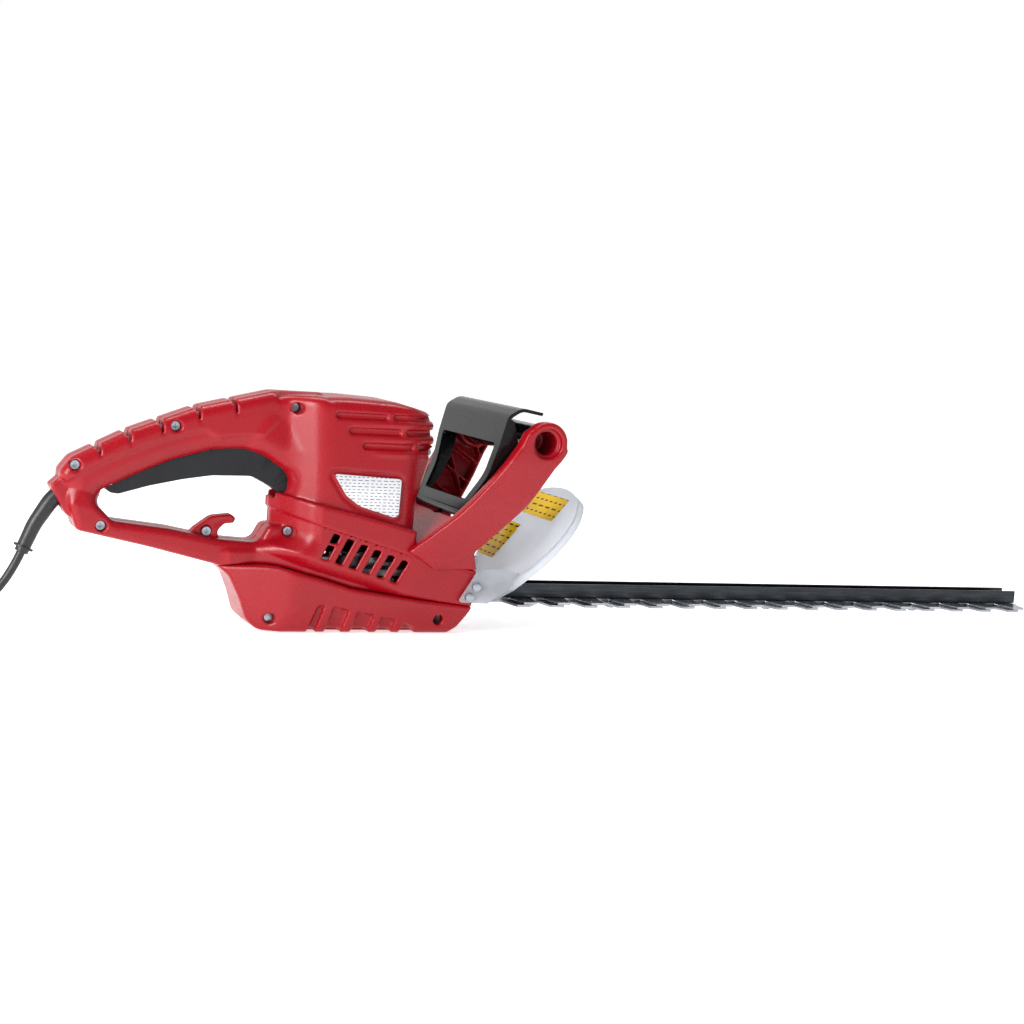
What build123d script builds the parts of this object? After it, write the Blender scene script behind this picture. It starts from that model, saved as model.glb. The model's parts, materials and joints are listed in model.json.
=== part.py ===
"""Electric hedge trimmer: loop handle, upright motor, bail handle, hand guard and two toothed blades.

The origin is the centre of the flat face that the base rests on. +X runs along the blades to their
tip, +Z is up, and +Y is the operator's left. Lengths are in millimetres, angles in degrees.
"""
import os
from math import cos, pi, radians, sin, tan

from build123d import *

os.makedirs("parts", exist_ok=True)

# ---------------------------------------------------------------- driving dimensions
WALL = 2.8                    # moulded wall of the housings
GAP = 0.3                     # air between moving bodies
RUNNING = 0.05                # radial clearance of a running fit
HANDLE_HALF = 19              # half width of the loop handle
POD_HALF = 43                 # half width of the motor housing
DECK_HALF = 47                # half width of the vent band and base
MOTOR_X = 0                   # motor axis
BLADE_TIP_X = 679             # front end of the blades
RAIL_END_X = 672              # front end of the blade rail
RAIL_START_X = 80             # rear end of the blade rail, inside the housing
BLADE_THICK = 2.0
LOWER_BLADE_Z = 22.2          # underside of the lower blade
UPPER_BLADE_Z = LOWER_BLADE_Z + BLADE_THICK + GAP
RAIL_Z = UPPER_BLADE_Z + BLADE_THICK + GAP      # underside of the rail's web
RAIL_HALF = 10.8
RAIL_HEIGHT = 11.7
SHEET = 1.8                   # steel sheet of the rail
BOLT_PITCH = 79
BOLT_COUNT = 7
FIRST_BOLT_X = 168
BOLT_R = 2.9
STROKE = 7.9                  # each blade moves this far each way
TOOTH_PITCH = 31.5
TOOTH_COUNT = 17
FIRST_TOOTH_X = 152
TOOTH_REACH = 36              # blade's centre line to a tooth's end
SPINE_HALF = 12               # half width of the blade behind its teeth
GEAR_MODULE = 1.25
PINION_TEETH = 9
GEAR_TEETH = 48
GEAR_X = MOTOR_X + GEAR_MODULE * (PINION_TEETH + GEAR_TEETH) / 2
GEAR_Z = 34
GEAR_THICK = 10
CAM_R = 10                    # eccentric disc
PLATE_Z = 47                  # underside of the gear plate
BAR_X, BAR_Z, BAR_R = 137.7, 165.7, 14          # front crossbar
BOSS_R = 17.5
SPIGOT_R = 11.4               # hollow stub of each arm inside the crossbar
LEVER_HINGE_X, LEVER_HINGE_Z = 81, 103          # front switch lever
TRIGGER_HINGE_X, TRIGGER_HINGE_Z = -201, 114    # rear switch lever
GUARD_ANGLE = 50              # lean of the guard above the horizontal
GUARD_X, GUARD_Z = 118, 27    # foot of the guard
CORD_R = 3.5


# ---------------------------------------------------------------- helpers
def side_solid(outline, corner, half_width, inset=0):
    """A block of the given half width with this outline in the XZ plane."""
    with BuildPart() as block:
        with BuildSketch(Plane.XZ):
            with BuildLine():
                FilletPolyline(*outline, radius=corner, close=True)
            make_face()
            if inset:
                offset(amount=-inset, kind=Kind.INTERSECTION)
        extrude(amount=half_width, both=True)
    return block.part


def cross_solid(outline, corner, inset=0):
    """An endless bar along X with this outline in the YZ plane."""
    with BuildPart() as bar:
        with BuildSketch(Plane.YZ):
            with BuildLine():
                FilletPolyline(*outline, radius=corner, close=True)
            make_face()
            if inset:
                offset(amount=-inset, kind=Kind.INTERSECTION)
        extrude(amount=400, both=True)
    return bar.part


def plan_solid(outline, corner, inset=0):
    """An endless column along Z with this outline in the XY plane."""
    with BuildPart() as column:
        with BuildSketch(Plane.XY):
            with BuildLine():
                FilletPolyline(*outline, radius=corner, close=True)
            make_face()
            if inset:
                offset(amount=-inset, kind=Kind.INTERSECTION)
        extrude(amount=300, both=True)
    return column.part


def cylinder_y(x, z, radius, y_low, y_high):
    """A cylinder along Y between two places."""
    with BuildPart() as rod:
        with BuildSketch(Plane((x, y_low, z), x_dir=(1, 0, 0), z_dir=(0, 1, 0))):
            Circle(radius)
        extrude(amount=y_high - y_low)
    return rod.part


def cylinder_z(x, y, radius, z_low, z_high):
    """An upright cylinder between two heights."""
    with BuildPart() as rod:
        with BuildSketch(Plane((x, y, z_low))):
            Circle(radius)
        extrude(amount=z_high - z_low)
    return rod.part


def box_between(low, high):
    """A box from its lowest to its highest corner."""
    size = [b - a for a, b in zip(low, high)]
    with BuildPart(Plane(low)) as block:
        Box(*size, align=(Align.MIN, Align.MIN, Align.MIN))
    return block.part


def save(name, part):
    """Labels a finished sub-part and writes its STEP file."""
    part.label = name
    export_step(part, f"parts/{name}.step")


# ---------------------------------------------------------------- outlines
LOOP_OUTSIDE = [(-226, 76), (-241, 121), (-232, 133), (-189, 155.5), (-134, 177.3), (-72, 193), (-30, 193),
                (-30, 60), (-109.5, 50), (-169, 64.2)]
LOOP_OUTSIDE_R = [6, 8, 10, 60, 60, 20, 0, 0, 12, 60]
LOOP_INSIDE = [(-212, 98), (-205, 105), (-177.5, 118.8), (-152, 130.2), (-119, 140), (-77, 141.5), (-56, 133),
               (-50, 106.5), (-70.3, 106.5), (-71.5, 86), (-80, 69.5), (-112, 71.5), (-152, 79), (-198, 84)]
LOOP_INSIDE_R = [6, 6, 40, 40, 40, 18, 16, 1, 1, 8, 9, 40, 60, 10]
COLLAR = [(-247, 110), (-234, 88), (-222, 80), (-214, 100), (-232, 124)]
DECK = [(-113, 51), (-113, 66), (-84, 67), (-73, 74), (-71.5, 90), (-79, 101), (-78, 108.5), (-66, 111), (-4, 98),
        (45, 86), (45, 67), (100.5, 54), (100, 23.5), (52.5, 28.6), (-5, 36.7), (-33, 44.9), (-70, 54)]
DECK_R = [0, 3, 10, 8, 10, 3, 3, 4, 30, 1, 1, 2, 0, 60, 60, 60, 60]
DECK_PLAN = [(-116, -17), (-84, -30), (-48, -DECK_HALF), (60, -DECK_HALF), (100.5, -46.8), (100.5, 46.8),
             (60, DECK_HALF), (-48, DECK_HALF), (-84, 30), (-116, 17)]
DECK_PLAN_R = [4, 50, 30, 40, 3, 3, 40, 30, 50, 4]
NECK_PLAN = [(-71, -5), (-64, -17), (-54, -32), (-44, -43), (-30, -50), (110, -50), (110, 50), (-30, 50), (-44, 43),
             (-54, 32), (-64, 17), (-71, 5)]
NECK_PLAN_R = [4, 12, 30, 20, 8, 0, 0, 8, 20, 30, 12, 4]
NECK_LOW_Z = 74               # the neck narrows above this height
POD = [(-62, 95), (-55, 125), (-86, 150), (-84, 186), (-60, 190.5), (-16, 193.4), (24, 191), (60, 182), (65, 154),
       (47, 108), (47, 80), (-40, 80)]
POD_R = [4, 10, 8, 4, 6, 80, 40, 14, 20, 20, 2, 2]
POD_PLAN = [(-92, -16), (-62, -20), (-34, -POD_HALF), (34, -POD_HALF), (65, -24), (65, 24), (34, POD_HALF),
            (-34, POD_HALF), (-62, 20), (-92, 16)]
POD_PLAN_R = [3, 12, 24, 22, 16, 16, 22, 24, 12, 3]
POD_FRONT = [(-44, 60), (-43, 120), (-39, 196), (39, 196), (43, 120), (44, 60)]
POD_FRONT_R = [0, 60, 16, 16, 60, 0]
BASE = [(-113, 50.7), (-103, 42), (-95, 25), (-89, 8), (-80, 0), (80, 0), (88, 6.5), (100, 23.5), (52.5, 28.6),
        (-5, 36.7), (-33, 44.9), (-70, 54)]
BASE_R = [1, 12, 30, 12, 14, 2, 8, 0.5, 60, 60, 60, 60]
BASE_PLAN = [(-114, -14), (-88, -28), (-54, -46), (60, -46), (100, -45.5), (100, 45.5), (60, 46), (-54, 46),
             (-88, 28), (-114, 14)]
BASE_PLAN_R = [4, 50, 30, 40, 4, 4, 40, 30, 50, 4]
BASE_FRONT = [(-38, 0), (-41, 4), (-45, 22), (-48, 60), (48, 60), (45, 22), (41, 4), (38, 0)]
BASE_FRONT_R = [0, 3, 20, 0, 0, 20, 3, 0]

# Housing screws: x, z, depth of the seat below Y = 0, length of the boss each way.
SCREWS = [(-229, 127, 10.5, 17), (-152, 161, 10.5, 17), (-207, 80, 11, 17), (-120.5, 76.5, 3, 6),
          (-56, 180.5, 11, 18), (-57, 80, 17, 20), (60, 149, 12, 18)]
SCREW_HEAD_R, SCREW_SHANK_R = 3.6, 1.7

HOOK = [(-138, 68), (-131, 78.5), (-117, 89), (-101, 91), (-97, 88), (-98, 83.8), (-106, 83), (-111.6, 77),
        (-109, 68)]
HOOK_R = [0, 6, 10, 3, 2, 2, 5, 5, 0]
HOOK_HALF = 6


def ring_solid(outer_inset, half_width):
    """The loop handle's ring with its walls moved inwards by outer_inset."""
    with BuildPart() as ring:
        with BuildSketch(Plane.XZ):
            with BuildLine():
                FilletPolyline(*LOOP_OUTSIDE, radius=LOOP_OUTSIDE_R, close=True)
            make_face()
            if outer_inset:
                offset(amount=-outer_inset, kind=Kind.INTERSECTION)
        extrude(amount=half_width, both=True)
        with BuildSketch(Plane.XZ):
            with BuildLine():
                FilletPolyline(*LOOP_INSIDE, radius=LOOP_INSIDE_R, close=True)
            make_face()
            if outer_inset:
                offset(amount=outer_inset, kind=Kind.ARC)
        extrude(amount=half_width, both=True, mode=Mode.SUBTRACT)
        add(box_between((-85, -60, NECK_LOW_Z + 1), (-29, 60, 112)), mode=Mode.SUBTRACT)
    return ring.part


def pod_solid(inset):
    """The motor housing's outer shape, moved inwards by inset."""
    with BuildPart() as pod:
        add(side_solid(POD, POD_R, 60, inset))
        add(cross_solid(POD_FRONT, POD_FRONT_R, inset), mode=Mode.INTERSECT)
        add(plan_solid(POD_PLAN, POD_PLAN_R, inset), mode=Mode.INTERSECT)
    return pod.part


def neck_solid(inset):
    """The space that the vent band keeps within: narrow at the neck, full width below it."""
    with BuildPart() as neck:
        add(plan_solid(NECK_PLAN, NECK_PLAN_R, inset))
        add(box_between((-130, -60, -10), (110, 60, NECK_LOW_Z - inset)))
    return neck.part


def deck_solid(inset):
    """The vent band between the motor housing and the base, moved inwards by inset."""
    with BuildPart() as deck:
        add(side_solid(DECK, DECK_R, 60, inset))
        add(plan_solid(DECK_PLAN, DECK_PLAN_R, inset), mode=Mode.INTERSECT)
        add(neck_solid(inset), mode=Mode.INTERSECT)
    return deck.part


def base_solid(inset):
    """The base tray's outer shape, moved inwards by inset."""
    with BuildPart() as base:
        add(side_solid(BASE, BASE_R, 60, inset))
        add(cross_solid(BASE_FRONT, BASE_FRONT_R, inset), mode=Mode.INTERSECT)
        add(plan_solid(BASE_PLAN, BASE_PLAN_R, inset), mode=Mode.INTERSECT)
    return base.part


# ---------------------------------------------------------------- housing halves
LOUVRE_ROWS = 3
VENT_COUNT = 6
SLEEVE_PATH = [(-226, 112), (-243, 99), (-256, 78), (-265, 56)]


def louvre_slots():
    """Three rows of air slots round the front of the motor housing."""
    with BuildPart() as slots:
        for row in range(LOUVRE_ROWS):
            x = -28 + 12 * row
            z = 177.5 - 12 * row
            for side in (-1, 1):
                with Locations((x + 22, side * 45, z), (x + 22 + 49, side * 45, z)):
                    Box(44, 30, 5)
            with Locations((70, 0, z)):
                Box(26, 30, 5)
    return slots.part


def vent_slots():
    """Six slanted air slots on each side of the vent band."""
    with BuildPart() as slots:
        for k in range(VENT_COUNT):
            top_x, top_z = -25 + 11.9 * k, 82 - 4.1 * k
            low_x, low_z = -34.5 + 11.8 * k, 62 - 3.5 * k
            add(side_solid([(low_x, low_z), (top_x, top_z), (top_x + 5.5, top_z - 1.5),
                            (low_x + 5.5, low_z - 1.5)], 0, 60))
    return slots.part


def screw_bosses():
    """Tubes inside the halves that the housing screws pull together."""
    with BuildPart() as bosses:
        for x, z, _, reach in SCREWS:
            add(cylinder_y(x, z, 4.8, -reach, reach))
    return bosses.part


def screw_holes():
    """Recess, seat and thread hole of each housing screw."""
    with BuildPart() as holes:
        for x, z, seat, _ in SCREWS:
            add(cylinder_y(x, z, SCREW_HEAD_R + 0.6, -60, -seat))
            add(cylinder_y(x, z, SCREW_SHANK_R + 0.02, -seat - 1, 4.5))
    return holes.part


def sleeve_solid(start_r, end_r):
    """A tapered tube along the cord's strain relief."""
    with BuildPart() as sleeve:
        with BuildLine() as path:
            FilletPolyline(*[(x, 0, z) for x, z in SLEEVE_PATH], radius=[40, 60])
        line = path.wires()[0]
        for place, radius in ((0, start_r), (0.5, (start_r + end_r) / 2), (1, end_r)):
            with BuildSketch(Plane(line @ place, z_dir=line % place)):
                Circle(radius)
        sweep(path=line, multisection=True)
    return sleeve.part


TRIGGER_SLOT = [(-208, 103), (-208, 121), (-178, 133), (-150, 146), (-100, 154), (-52, 156), (-45.5, 142),
                (-45.5, 106.5), (-71, 106.5), (-88, 112)]
TRIGGER_HALF = 10.5
GUARD_SCREWS = [(99, 41.5), (93.5, 32.5)]

with BuildPart() as shell:
    add(ring_solid(0, HANDLE_HALF))
    add(deck_solid(0))
    add(pod_solid(0))
    add(side_solid(COLLAR, [2, 2, 2, 0, 0], 12))
    add(side_solid(HOOK, HOOK_R, HOOK_HALF))
    add(ring_solid(WALL, HANDLE_HALF - WALL), mode=Mode.SUBTRACT)
    add(deck_solid(WALL), mode=Mode.SUBTRACT)
    add(pod_solid(WALL), mode=Mode.SUBTRACT)
    add(box_between((-62, -38, 20), (90, 38, 50)), mode=Mode.SUBTRACT)
    add(box_between((85, -15, 15), (110, 15, 41)), mode=Mode.SUBTRACT)
    add(louvre_slots(), mode=Mode.SUBTRACT)
    add(vent_slots(), mode=Mode.SUBTRACT)
    add(side_solid(TRIGGER_SLOT, 0, TRIGGER_HALF + 0.6), mode=Mode.SUBTRACT)
    add(screw_bosses())
    add(screw_holes(), mode=Mode.SUBTRACT)
    add(sleeve_solid(8, 7.4), mode=Mode.SUBTRACT)
    add(cylinder_y(TRIGGER_HINGE_X, TRIGGER_HINGE_Z, 2.02, -12.7, 12.7), mode=Mode.SUBTRACT)
    for screw_x, screw_z in GUARD_SCREWS:
        add(cylinder_y(screw_x, screw_z, 1.87, -60, 60), mode=Mode.SUBTRACT)
    add(base_solid(0), mode=Mode.SUBTRACT)

with BuildPart() as right_housing:
    add(shell.part)
    split(bisect_by=Plane.XZ, keep=Keep.TOP)
save("right_housing", right_housing.part)

with BuildPart() as left_housing:
    add(shell.part)
    split(bisect_by=Plane.XZ, keep=Keep.BOTTOM)
save("left_housing", left_housing.part)

with BuildPart() as housing_screws:
    for screw_x, screw_z, seat, _ in SCREWS:
        add(cylinder_y(screw_x, screw_z, SCREW_HEAD_R, -seat - 2.4, -seat))
        add(cylinder_y(screw_x, screw_z, SCREW_SHANK_R, -seat, 4))
        with BuildSketch(Plane((screw_x, -seat - 2.4, screw_z), x_dir=(1, 0, 0), z_dir=(0, 1, 0))):
            Rectangle(4, 0.9)
            Rectangle(0.9, 4)
        extrude(amount=1.4, mode=Mode.SUBTRACT)
save("housing_screws", housing_screws.part)

# ---------------------------------------------------------------- base tray
BUSH_R, BUSH_LOW_Z, BUSH_HIGH_Z = 7.5, 5, 15
RIB_POCKETS = [(-46, 9), (-28, 13), (-6, 14), (17, 12), (37, 9)]
BASE_SCREWS = [(-72, 11), (70, 12)]


def base_screw_bosses():
    """Tubes across the tray for its two screws, trimmed to lie inside its skin."""
    with BuildPart() as bosses:
        for boss_x, boss_z in BASE_SCREWS:
            add(cylinder_y(boss_x, boss_z, 5, -42, 42))
        add(base_solid(0.5), mode=Mode.INTERSECT)
    return bosses.part


def rib_pockets():
    """The shallow slanted pockets that leave grip ribs on the tray's sides."""
    with BuildPart() as pockets:
        for pocket_x, length in RIB_POCKETS:
            top = 22 - 0.1 * pocket_x
            add(side_solid([(pocket_x, -1), (pocket_x + 7, top), (pocket_x + 7 + length, top - 1),
                            (pocket_x + length, -1)], 0, 60))
        add(base_solid(1.5), mode=Mode.SUBTRACT)
        add(box_between((-60, -36, -5), (60, 36, 40)), mode=Mode.SUBTRACT)
    return pockets.part


with BuildPart() as base_tray:
    add(base_solid(0))
    add(base_solid(WALL), mode=Mode.SUBTRACT)
    add(box_between((-62, -38, 8), (90, 38, 60)), mode=Mode.SUBTRACT)
    add(box_between((85, -15, 17), (110, 15, 41)), mode=Mode.SUBTRACT)
    add(cylinder_z(GEAR_X, 0, 11, 1, BUSH_HIGH_Z - 1))
    add(base_screw_bosses())
    add(cylinder_z(GEAR_X, 0, BUSH_R + 0.02, BUSH_LOW_Z, 20), mode=Mode.SUBTRACT)
    for boss_x, boss_z in BASE_SCREWS:
        add(cylinder_y(boss_x, boss_z, SCREW_HEAD_R + 0.6, -60, -29), mode=Mode.SUBTRACT)
        add(cylinder_y(boss_x, boss_z, SCREW_SHANK_R + 0.02, -30, -13), mode=Mode.SUBTRACT)
    add(rib_pockets(), mode=Mode.SUBTRACT)
save("base_tray", base_tray.part)

with BuildPart() as base_screws:
    screw_x, screw_z = BASE_SCREWS[0]
    add(cylinder_y(screw_x, screw_z, SCREW_HEAD_R, -31.4, -29))
    add(cylinder_y(screw_x, screw_z, SCREW_SHANK_R, -29, -13.5))
save("base_screw", base_screws.part)

# ---------------------------------------------------------------- front bail handle
ARM_THICK = 14
ARM = [(36, 69), (52, 83), (72, 103), (98, 137), (121.5, 173), (154.5, 159.5), (130, 113.5), (98, 73.5), (80, 60),
       (58, 60)]
ARM_R = [2, 60, 90, 120, 0, 0, 120, 60, 14, 20]
ARM_BAND = [(50.2, 50), (50.8, 64), (60, 84), (76, 112), (87, 150), (89, 190)]
ARM_BAND_R = [0, 20, 60, 80, 60, 0]
SADDLE = [(41, 69), (77, 98.5), (84, 96), (96, 66), (99, 55), (60, 55)]
SADDLE_R = [1, 2, 4, 8, 1, 1]
SADDLE_FRONT = [(-49, 50), (-50, 64), (-59, 84), (-75, 112), (75, 112), (59, 84), (50, 64), (49, 50)]
SADDLE_FRONT_R = [0, 10, 60, 0, 0, 60, 10, 0]
HUB_R, PIN_R = 4, 2

with BuildPart() as arm_bands:
    with BuildSketch(Plane.YZ):
        outside = [Vector(y, z) for y, z in ARM_BAND]
        inside = [Vector(y - ARM_THICK, z) for y, z in reversed(ARM_BAND)]
        with BuildLine():
            FilletPolyline(*outside, *inside, radius=ARM_BAND_R + ARM_BAND_R, close=True)
        make_face()
        mirror(about=Plane.YZ)
    extrude(amount=400, both=True)


def saddle_solid():
    """The block between the two arms that sits on the housing."""
    with BuildPart() as saddle:
        add(side_solid(SADDLE, SADDLE_R, 95))
        add(cross_solid(SADDLE_FRONT, SADDLE_FRONT_R), mode=Mode.INTERSECT)
    return saddle.part


with BuildPart() as bail_handle:
    add(side_solid(ARM, ARM_R, 95))
    add(cylinder_y(BAR_X, BAR_Z, BOSS_R, -95, 95))
    add(arm_bands.part, mode=Mode.INTERSECT)
    add(saddle_solid())
    add(side_solid(SADDLE, SADDLE_R, 33, 3), mode=Mode.SUBTRACT)
    add(deck_solid(0), mode=Mode.SUBTRACT)
    add(pod_solid(0), mode=Mode.SUBTRACT)
    for y_low in (83, -95):
        add(cylinder_y(BAR_X, BAR_Z, 12.3, y_low, y_low + 12), mode=Mode.SUBTRACT)
    add(cylinder_y(BAR_X, BAR_Z, BAR_R + 0.02, -80, 80), mode=Mode.SUBTRACT)
    for y_low in (52, -82):
        add(cylinder_y(BAR_X, BAR_Z, SPIGOT_R, y_low, y_low + 30))
    for y_low in (54, -95):
        add(cylinder_y(BAR_X, BAR_Z, SPIGOT_R - 1.8, y_low, y_low + 41), mode=Mode.SUBTRACT)
    add(cylinder_y(LEVER_HINGE_X, LEVER_HINGE_Z, PIN_R + 0.02, -62, 62), mode=Mode.SUBTRACT)
    add(box_between((76, -5, 84), (88, 5, 104)), mode=Mode.SUBTRACT)
    add(cylinder_y(LEVER_HINGE_X, LEVER_HINGE_Z, HUB_R + 0.8, -54.5, 54.5), mode=Mode.SUBTRACT)
save("bail_handle", bail_handle.part)

with BuildPart() as crossbar:
    add(cylinder_y(BAR_X, BAR_Z, BAR_R, -79.8, 79.8))
    add(cylinder_y(BAR_X, BAR_Z, SPIGOT_R + 0.08, -90, 90), mode=Mode.SUBTRACT)
save("crossbar", crossbar.part)

# ---------------------------------------------------------------- front switch lever
LEVER_SHEET = [(78, 105), (84, 116), (95, 136), (101, 162), (107, 186), (118.5, 193), (137.5, 189.8),
               (136.8, 187.2), (119, 190.2), (109.6, 184), (103.6, 161), (97.5, 135), (86, 114), (82, 105)]
LEVER_SHEET_R = [0, 40, 60, 80, 9, 12, 0, 0, 10, 6, 80, 60, 40, 0]
LEVER_CHEEK = [(78, 104), (84, 116), (95, 136), (101, 162), (107, 183), (112, 183), (118, 163), (112, 140),
               (98, 119), (85, 104)]
LEVER_CHEEK_R = [0, 40, 60, 80, 0, 3, 20, 30, 40, 0]
LEVER_FRONT = [(-53.3, 96), (-55.4, 104), (-67, 135), (-72.3, 162), (-73, 200), (73, 200), (72.3, 162), (67, 135),
               (55.4, 104), (53.3, 96)]
LEVER_WINDOW = [(-48, 114), (-57, 138), (-62, 163), (62, 163), (57, 138), (48, 114)]
CHEEK_THICK = 2.6


def lever_cheeks():
    """The two side walls that stiffen the lever's sheet."""
    with BuildPart() as cheeks:
        add(side_solid(LEVER_CHEEK, LEVER_CHEEK_R, 80))
        add(cross_solid(LEVER_FRONT, 0, CHEEK_THICK), mode=Mode.SUBTRACT)
    return cheeks.part


with BuildPart() as front_lever:
    add(side_solid(LEVER_SHEET, LEVER_SHEET_R, 80))
    add(lever_cheeks())
    add(cylinder_y(LEVER_HINGE_X, LEVER_HINGE_Z, HUB_R, -53.8, 53.8))
    add(cross_solid(LEVER_FRONT, 0), mode=Mode.INTERSECT)
    add(cross_solid(LEVER_WINDOW, [3, 40, 3, 3, 40, 3]), mode=Mode.SUBTRACT)
    add(box_between((79.5, -3, 77.5), (83, 3, 101)))
    add(cylinder_y(LEVER_HINGE_X, LEVER_HINGE_Z, PIN_R + RUNNING, -60, 60), mode=Mode.SUBTRACT)
save("front_lever", front_lever.part)

save("front_lever_pin", cylinder_y(LEVER_HINGE_X, LEVER_HINGE_Z, PIN_R, -61.5, 61.5))

with BuildPart() as front_switch:
    add(box_between((65.5, -10, 69), (75.5, 10, 83)))
    add(box_between((71, -3.3, 78), (76, 3.3, 82)), mode=Mode.SUBTRACT)
save("front_switch", front_switch.part)
save("front_switch_plunger", box_between((74.3, -2.7, 78.5), (78.9, 2.7, 81.5)))

# ---------------------------------------------------------------- rear switch lever
TRIGGER = [(-207, 113), (-201, 106), (-194, 105), (-170, 112.3), (-144, 118.3), (-120, 122.3), (-87, 123),
           (-70, 114.5), (-59, 107.4), (-53.5, 107.6), (-53, 124), (-58, 136), (-73, 144), (-100, 145.5),
           (-125, 143.5), (-152, 134), (-177, 123), (-198, 118.5)]
TRIGGER_R = [3, 5, 8, 60, 60, 40, 16, 12, 2.3, 2.3, 8, 8, 10, 50, 40, 60, 40, 4]

with BuildPart() as rear_lever:
    add(side_solid(TRIGGER, TRIGGER_R, TRIGGER_HALF))
    add(side_solid(TRIGGER, TRIGGER_R, TRIGGER_HALF - 2.2, 2.2), mode=Mode.SUBTRACT)
    add(cylinder_y(TRIGGER_HINGE_X, TRIGGER_HINGE_Z, HUB_R, -TRIGGER_HALF, TRIGGER_HALF))
    add(cylinder_y(TRIGGER_HINGE_X, TRIGGER_HINGE_Z, PIN_R + RUNNING, -20, 20), mode=Mode.SUBTRACT)
save("rear_lever", rear_lever.part)
save("rear_lever_pin", cylinder_y(TRIGGER_HINGE_X, TRIGGER_HINGE_Z, PIN_R, -12.5, 12.5))

with BuildPart() as rear_switch:
    add(box_between((-172, -8, 143), (-140, 8, 155.5)))
    add(box_between((-159.3, -3.3, 142.5), (-152.7, 3.3, 150.5)), mode=Mode.SUBTRACT)
save("rear_switch", rear_switch.part)
save("rear_switch_plunger", box_between((-158.5, -2.5, 136), (-153.5, 2.5, 147)))

# ---------------------------------------------------------------- hand guard
GUARD_THICK = 2.5
GUARD_FRONT = Vector(sin(radians(GUARD_ANGLE)), 0, -cos(radians(GUARD_ANGLE)))
GUARD_PLANE = Plane((GUARD_X, 0, GUARD_Z), x_dir=(0, 1, 0), z_dir=GUARD_FRONT)
GUARD_EDGE = [(30, 3), (48, 20), (59, 40), (66, 60), (67, 78), (60, 98), (42, 114), (0, 124)]
GUARD_EDGE_R = [2, 20, 60, 60, 40, 30, 30, 120]
GUARD_FACE = GUARD_PLANE.offset(-GUARD_THICK)


def guard_outline(inset=0):
    """The guard's flat shape: a wide shield with round shoulders, straight at the foot."""
    right = [Vector(-y, s) for y, s in reversed(GUARD_EDGE[:-1])]
    left = [Vector(y, s) for y, s in GUARD_EDGE]
    with BuildSketch(GUARD_PLANE) as face:
        with BuildLine():
            FilletPolyline(*left, *right, radius=GUARD_EDGE_R + GUARD_EDGE_R[-2::-1], close=True)
        make_face()
        if inset:
            offset(amount=-inset, kind=Kind.INTERSECTION)
    return face.sketch


CHEEK = [(84, 28), (98, 51), (106, 56), (122, 56), (139.5, 52.6), (128, 38.8), (110, 27)]

with BuildPart() as hand_guard:
    extrude(guard_outline(), amount=5, dir=GUARD_FRONT)
    extrude(guard_outline(2), amount=5, dir=GUARD_FRONT, mode=Mode.SUBTRACT)
    extrude(guard_outline(), amount=GUARD_THICK, dir=-GUARD_FRONT)
    for side in (-1, 1):
        with BuildSketch(Plane((0, side * 47.1, 0), x_dir=(1, 0, 0), z_dir=(0, -1, 0))):
            with BuildLine():
                FilletPolyline(*CHEEK, radius=[2, 3, 5, 10, 0, 0, 3], close=True)
            make_face()
        extrude(amount=-side * 2)
    add(box_between((100, -13, 15), (160, 13, 41)), mode=Mode.SUBTRACT)
    for screw_x, screw_z in GUARD_SCREWS:
        add(cylinder_y(screw_x, screw_z, 1.9, -60, 60), mode=Mode.SUBTRACT)
save("hand_guard", hand_guard.part)

with BuildPart() as guard_screws:
    for screw_x, screw_z in GUARD_SCREWS:
        for side in (-1, 1):
            y_low, y_high = sorted((side * 40, side * 49.1))
            add(cylinder_y(screw_x, screw_z, 1.85, y_low, y_high))
            y_low, y_high = sorted((side * 49.1, side * 51.3))
            add(cylinder_y(screw_x, screw_z, 3.6, y_low, y_high))
save("guard_screws", guard_screws.part)

LABEL_THICK = 0.3
LABELS = {"upper_warning_label": (6.5, 99, 67, 24), "lower_warning_label": (38, 55.5, 36, 39)}
for label_name, (label_y, label_s, label_wide, label_high) in LABELS.items():
    with BuildPart() as label:
        with BuildSketch(GUARD_FACE):
            with Locations((label_y, label_s)):
                RectangleRounded(label_wide, label_high, 1.5)
        extrude(amount=LABEL_THICK, dir=-GUARD_FRONT)
    save(label_name, label.part)

NAMEPLATE = [(-28, 130.5), (29.5, 128), (28.5, 97.5), (24, 96.8), (-5, 105), (-17, 113.5)]
NAMEPLATE_R = [1.5, 2.5, 3, 3, 20, 12]


def label_skin():
    """A thin layer on the right face of the motor housing."""
    with BuildPart() as skin:
        add(cross_solid(POD_FRONT, POD_FRONT_R, -LABEL_THICK))
        add(cross_solid(POD_FRONT, POD_FRONT_R), mode=Mode.SUBTRACT)
        add(box_between((-60, -60, 90), (60, -20, 140)), mode=Mode.INTERSECT)
    return skin.part


with BuildPart() as nameplate:
    add(side_solid(NAMEPLATE, NAMEPLATE_R, 60))
    add(label_skin(), mode=Mode.INTERSECT)
save("nameplate", nameplate.part)

# ---------------------------------------------------------------- blade rail, blades and bolts
BOLT_XS = [FIRST_BOLT_X + BOLT_PITCH * k for k in range(BOLT_COUNT)]
RAIL_TOP_Z = RAIL_Z + RAIL_HEIGHT
BLOCK_SCREWS = ((86, -5), (86, 5))

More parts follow.
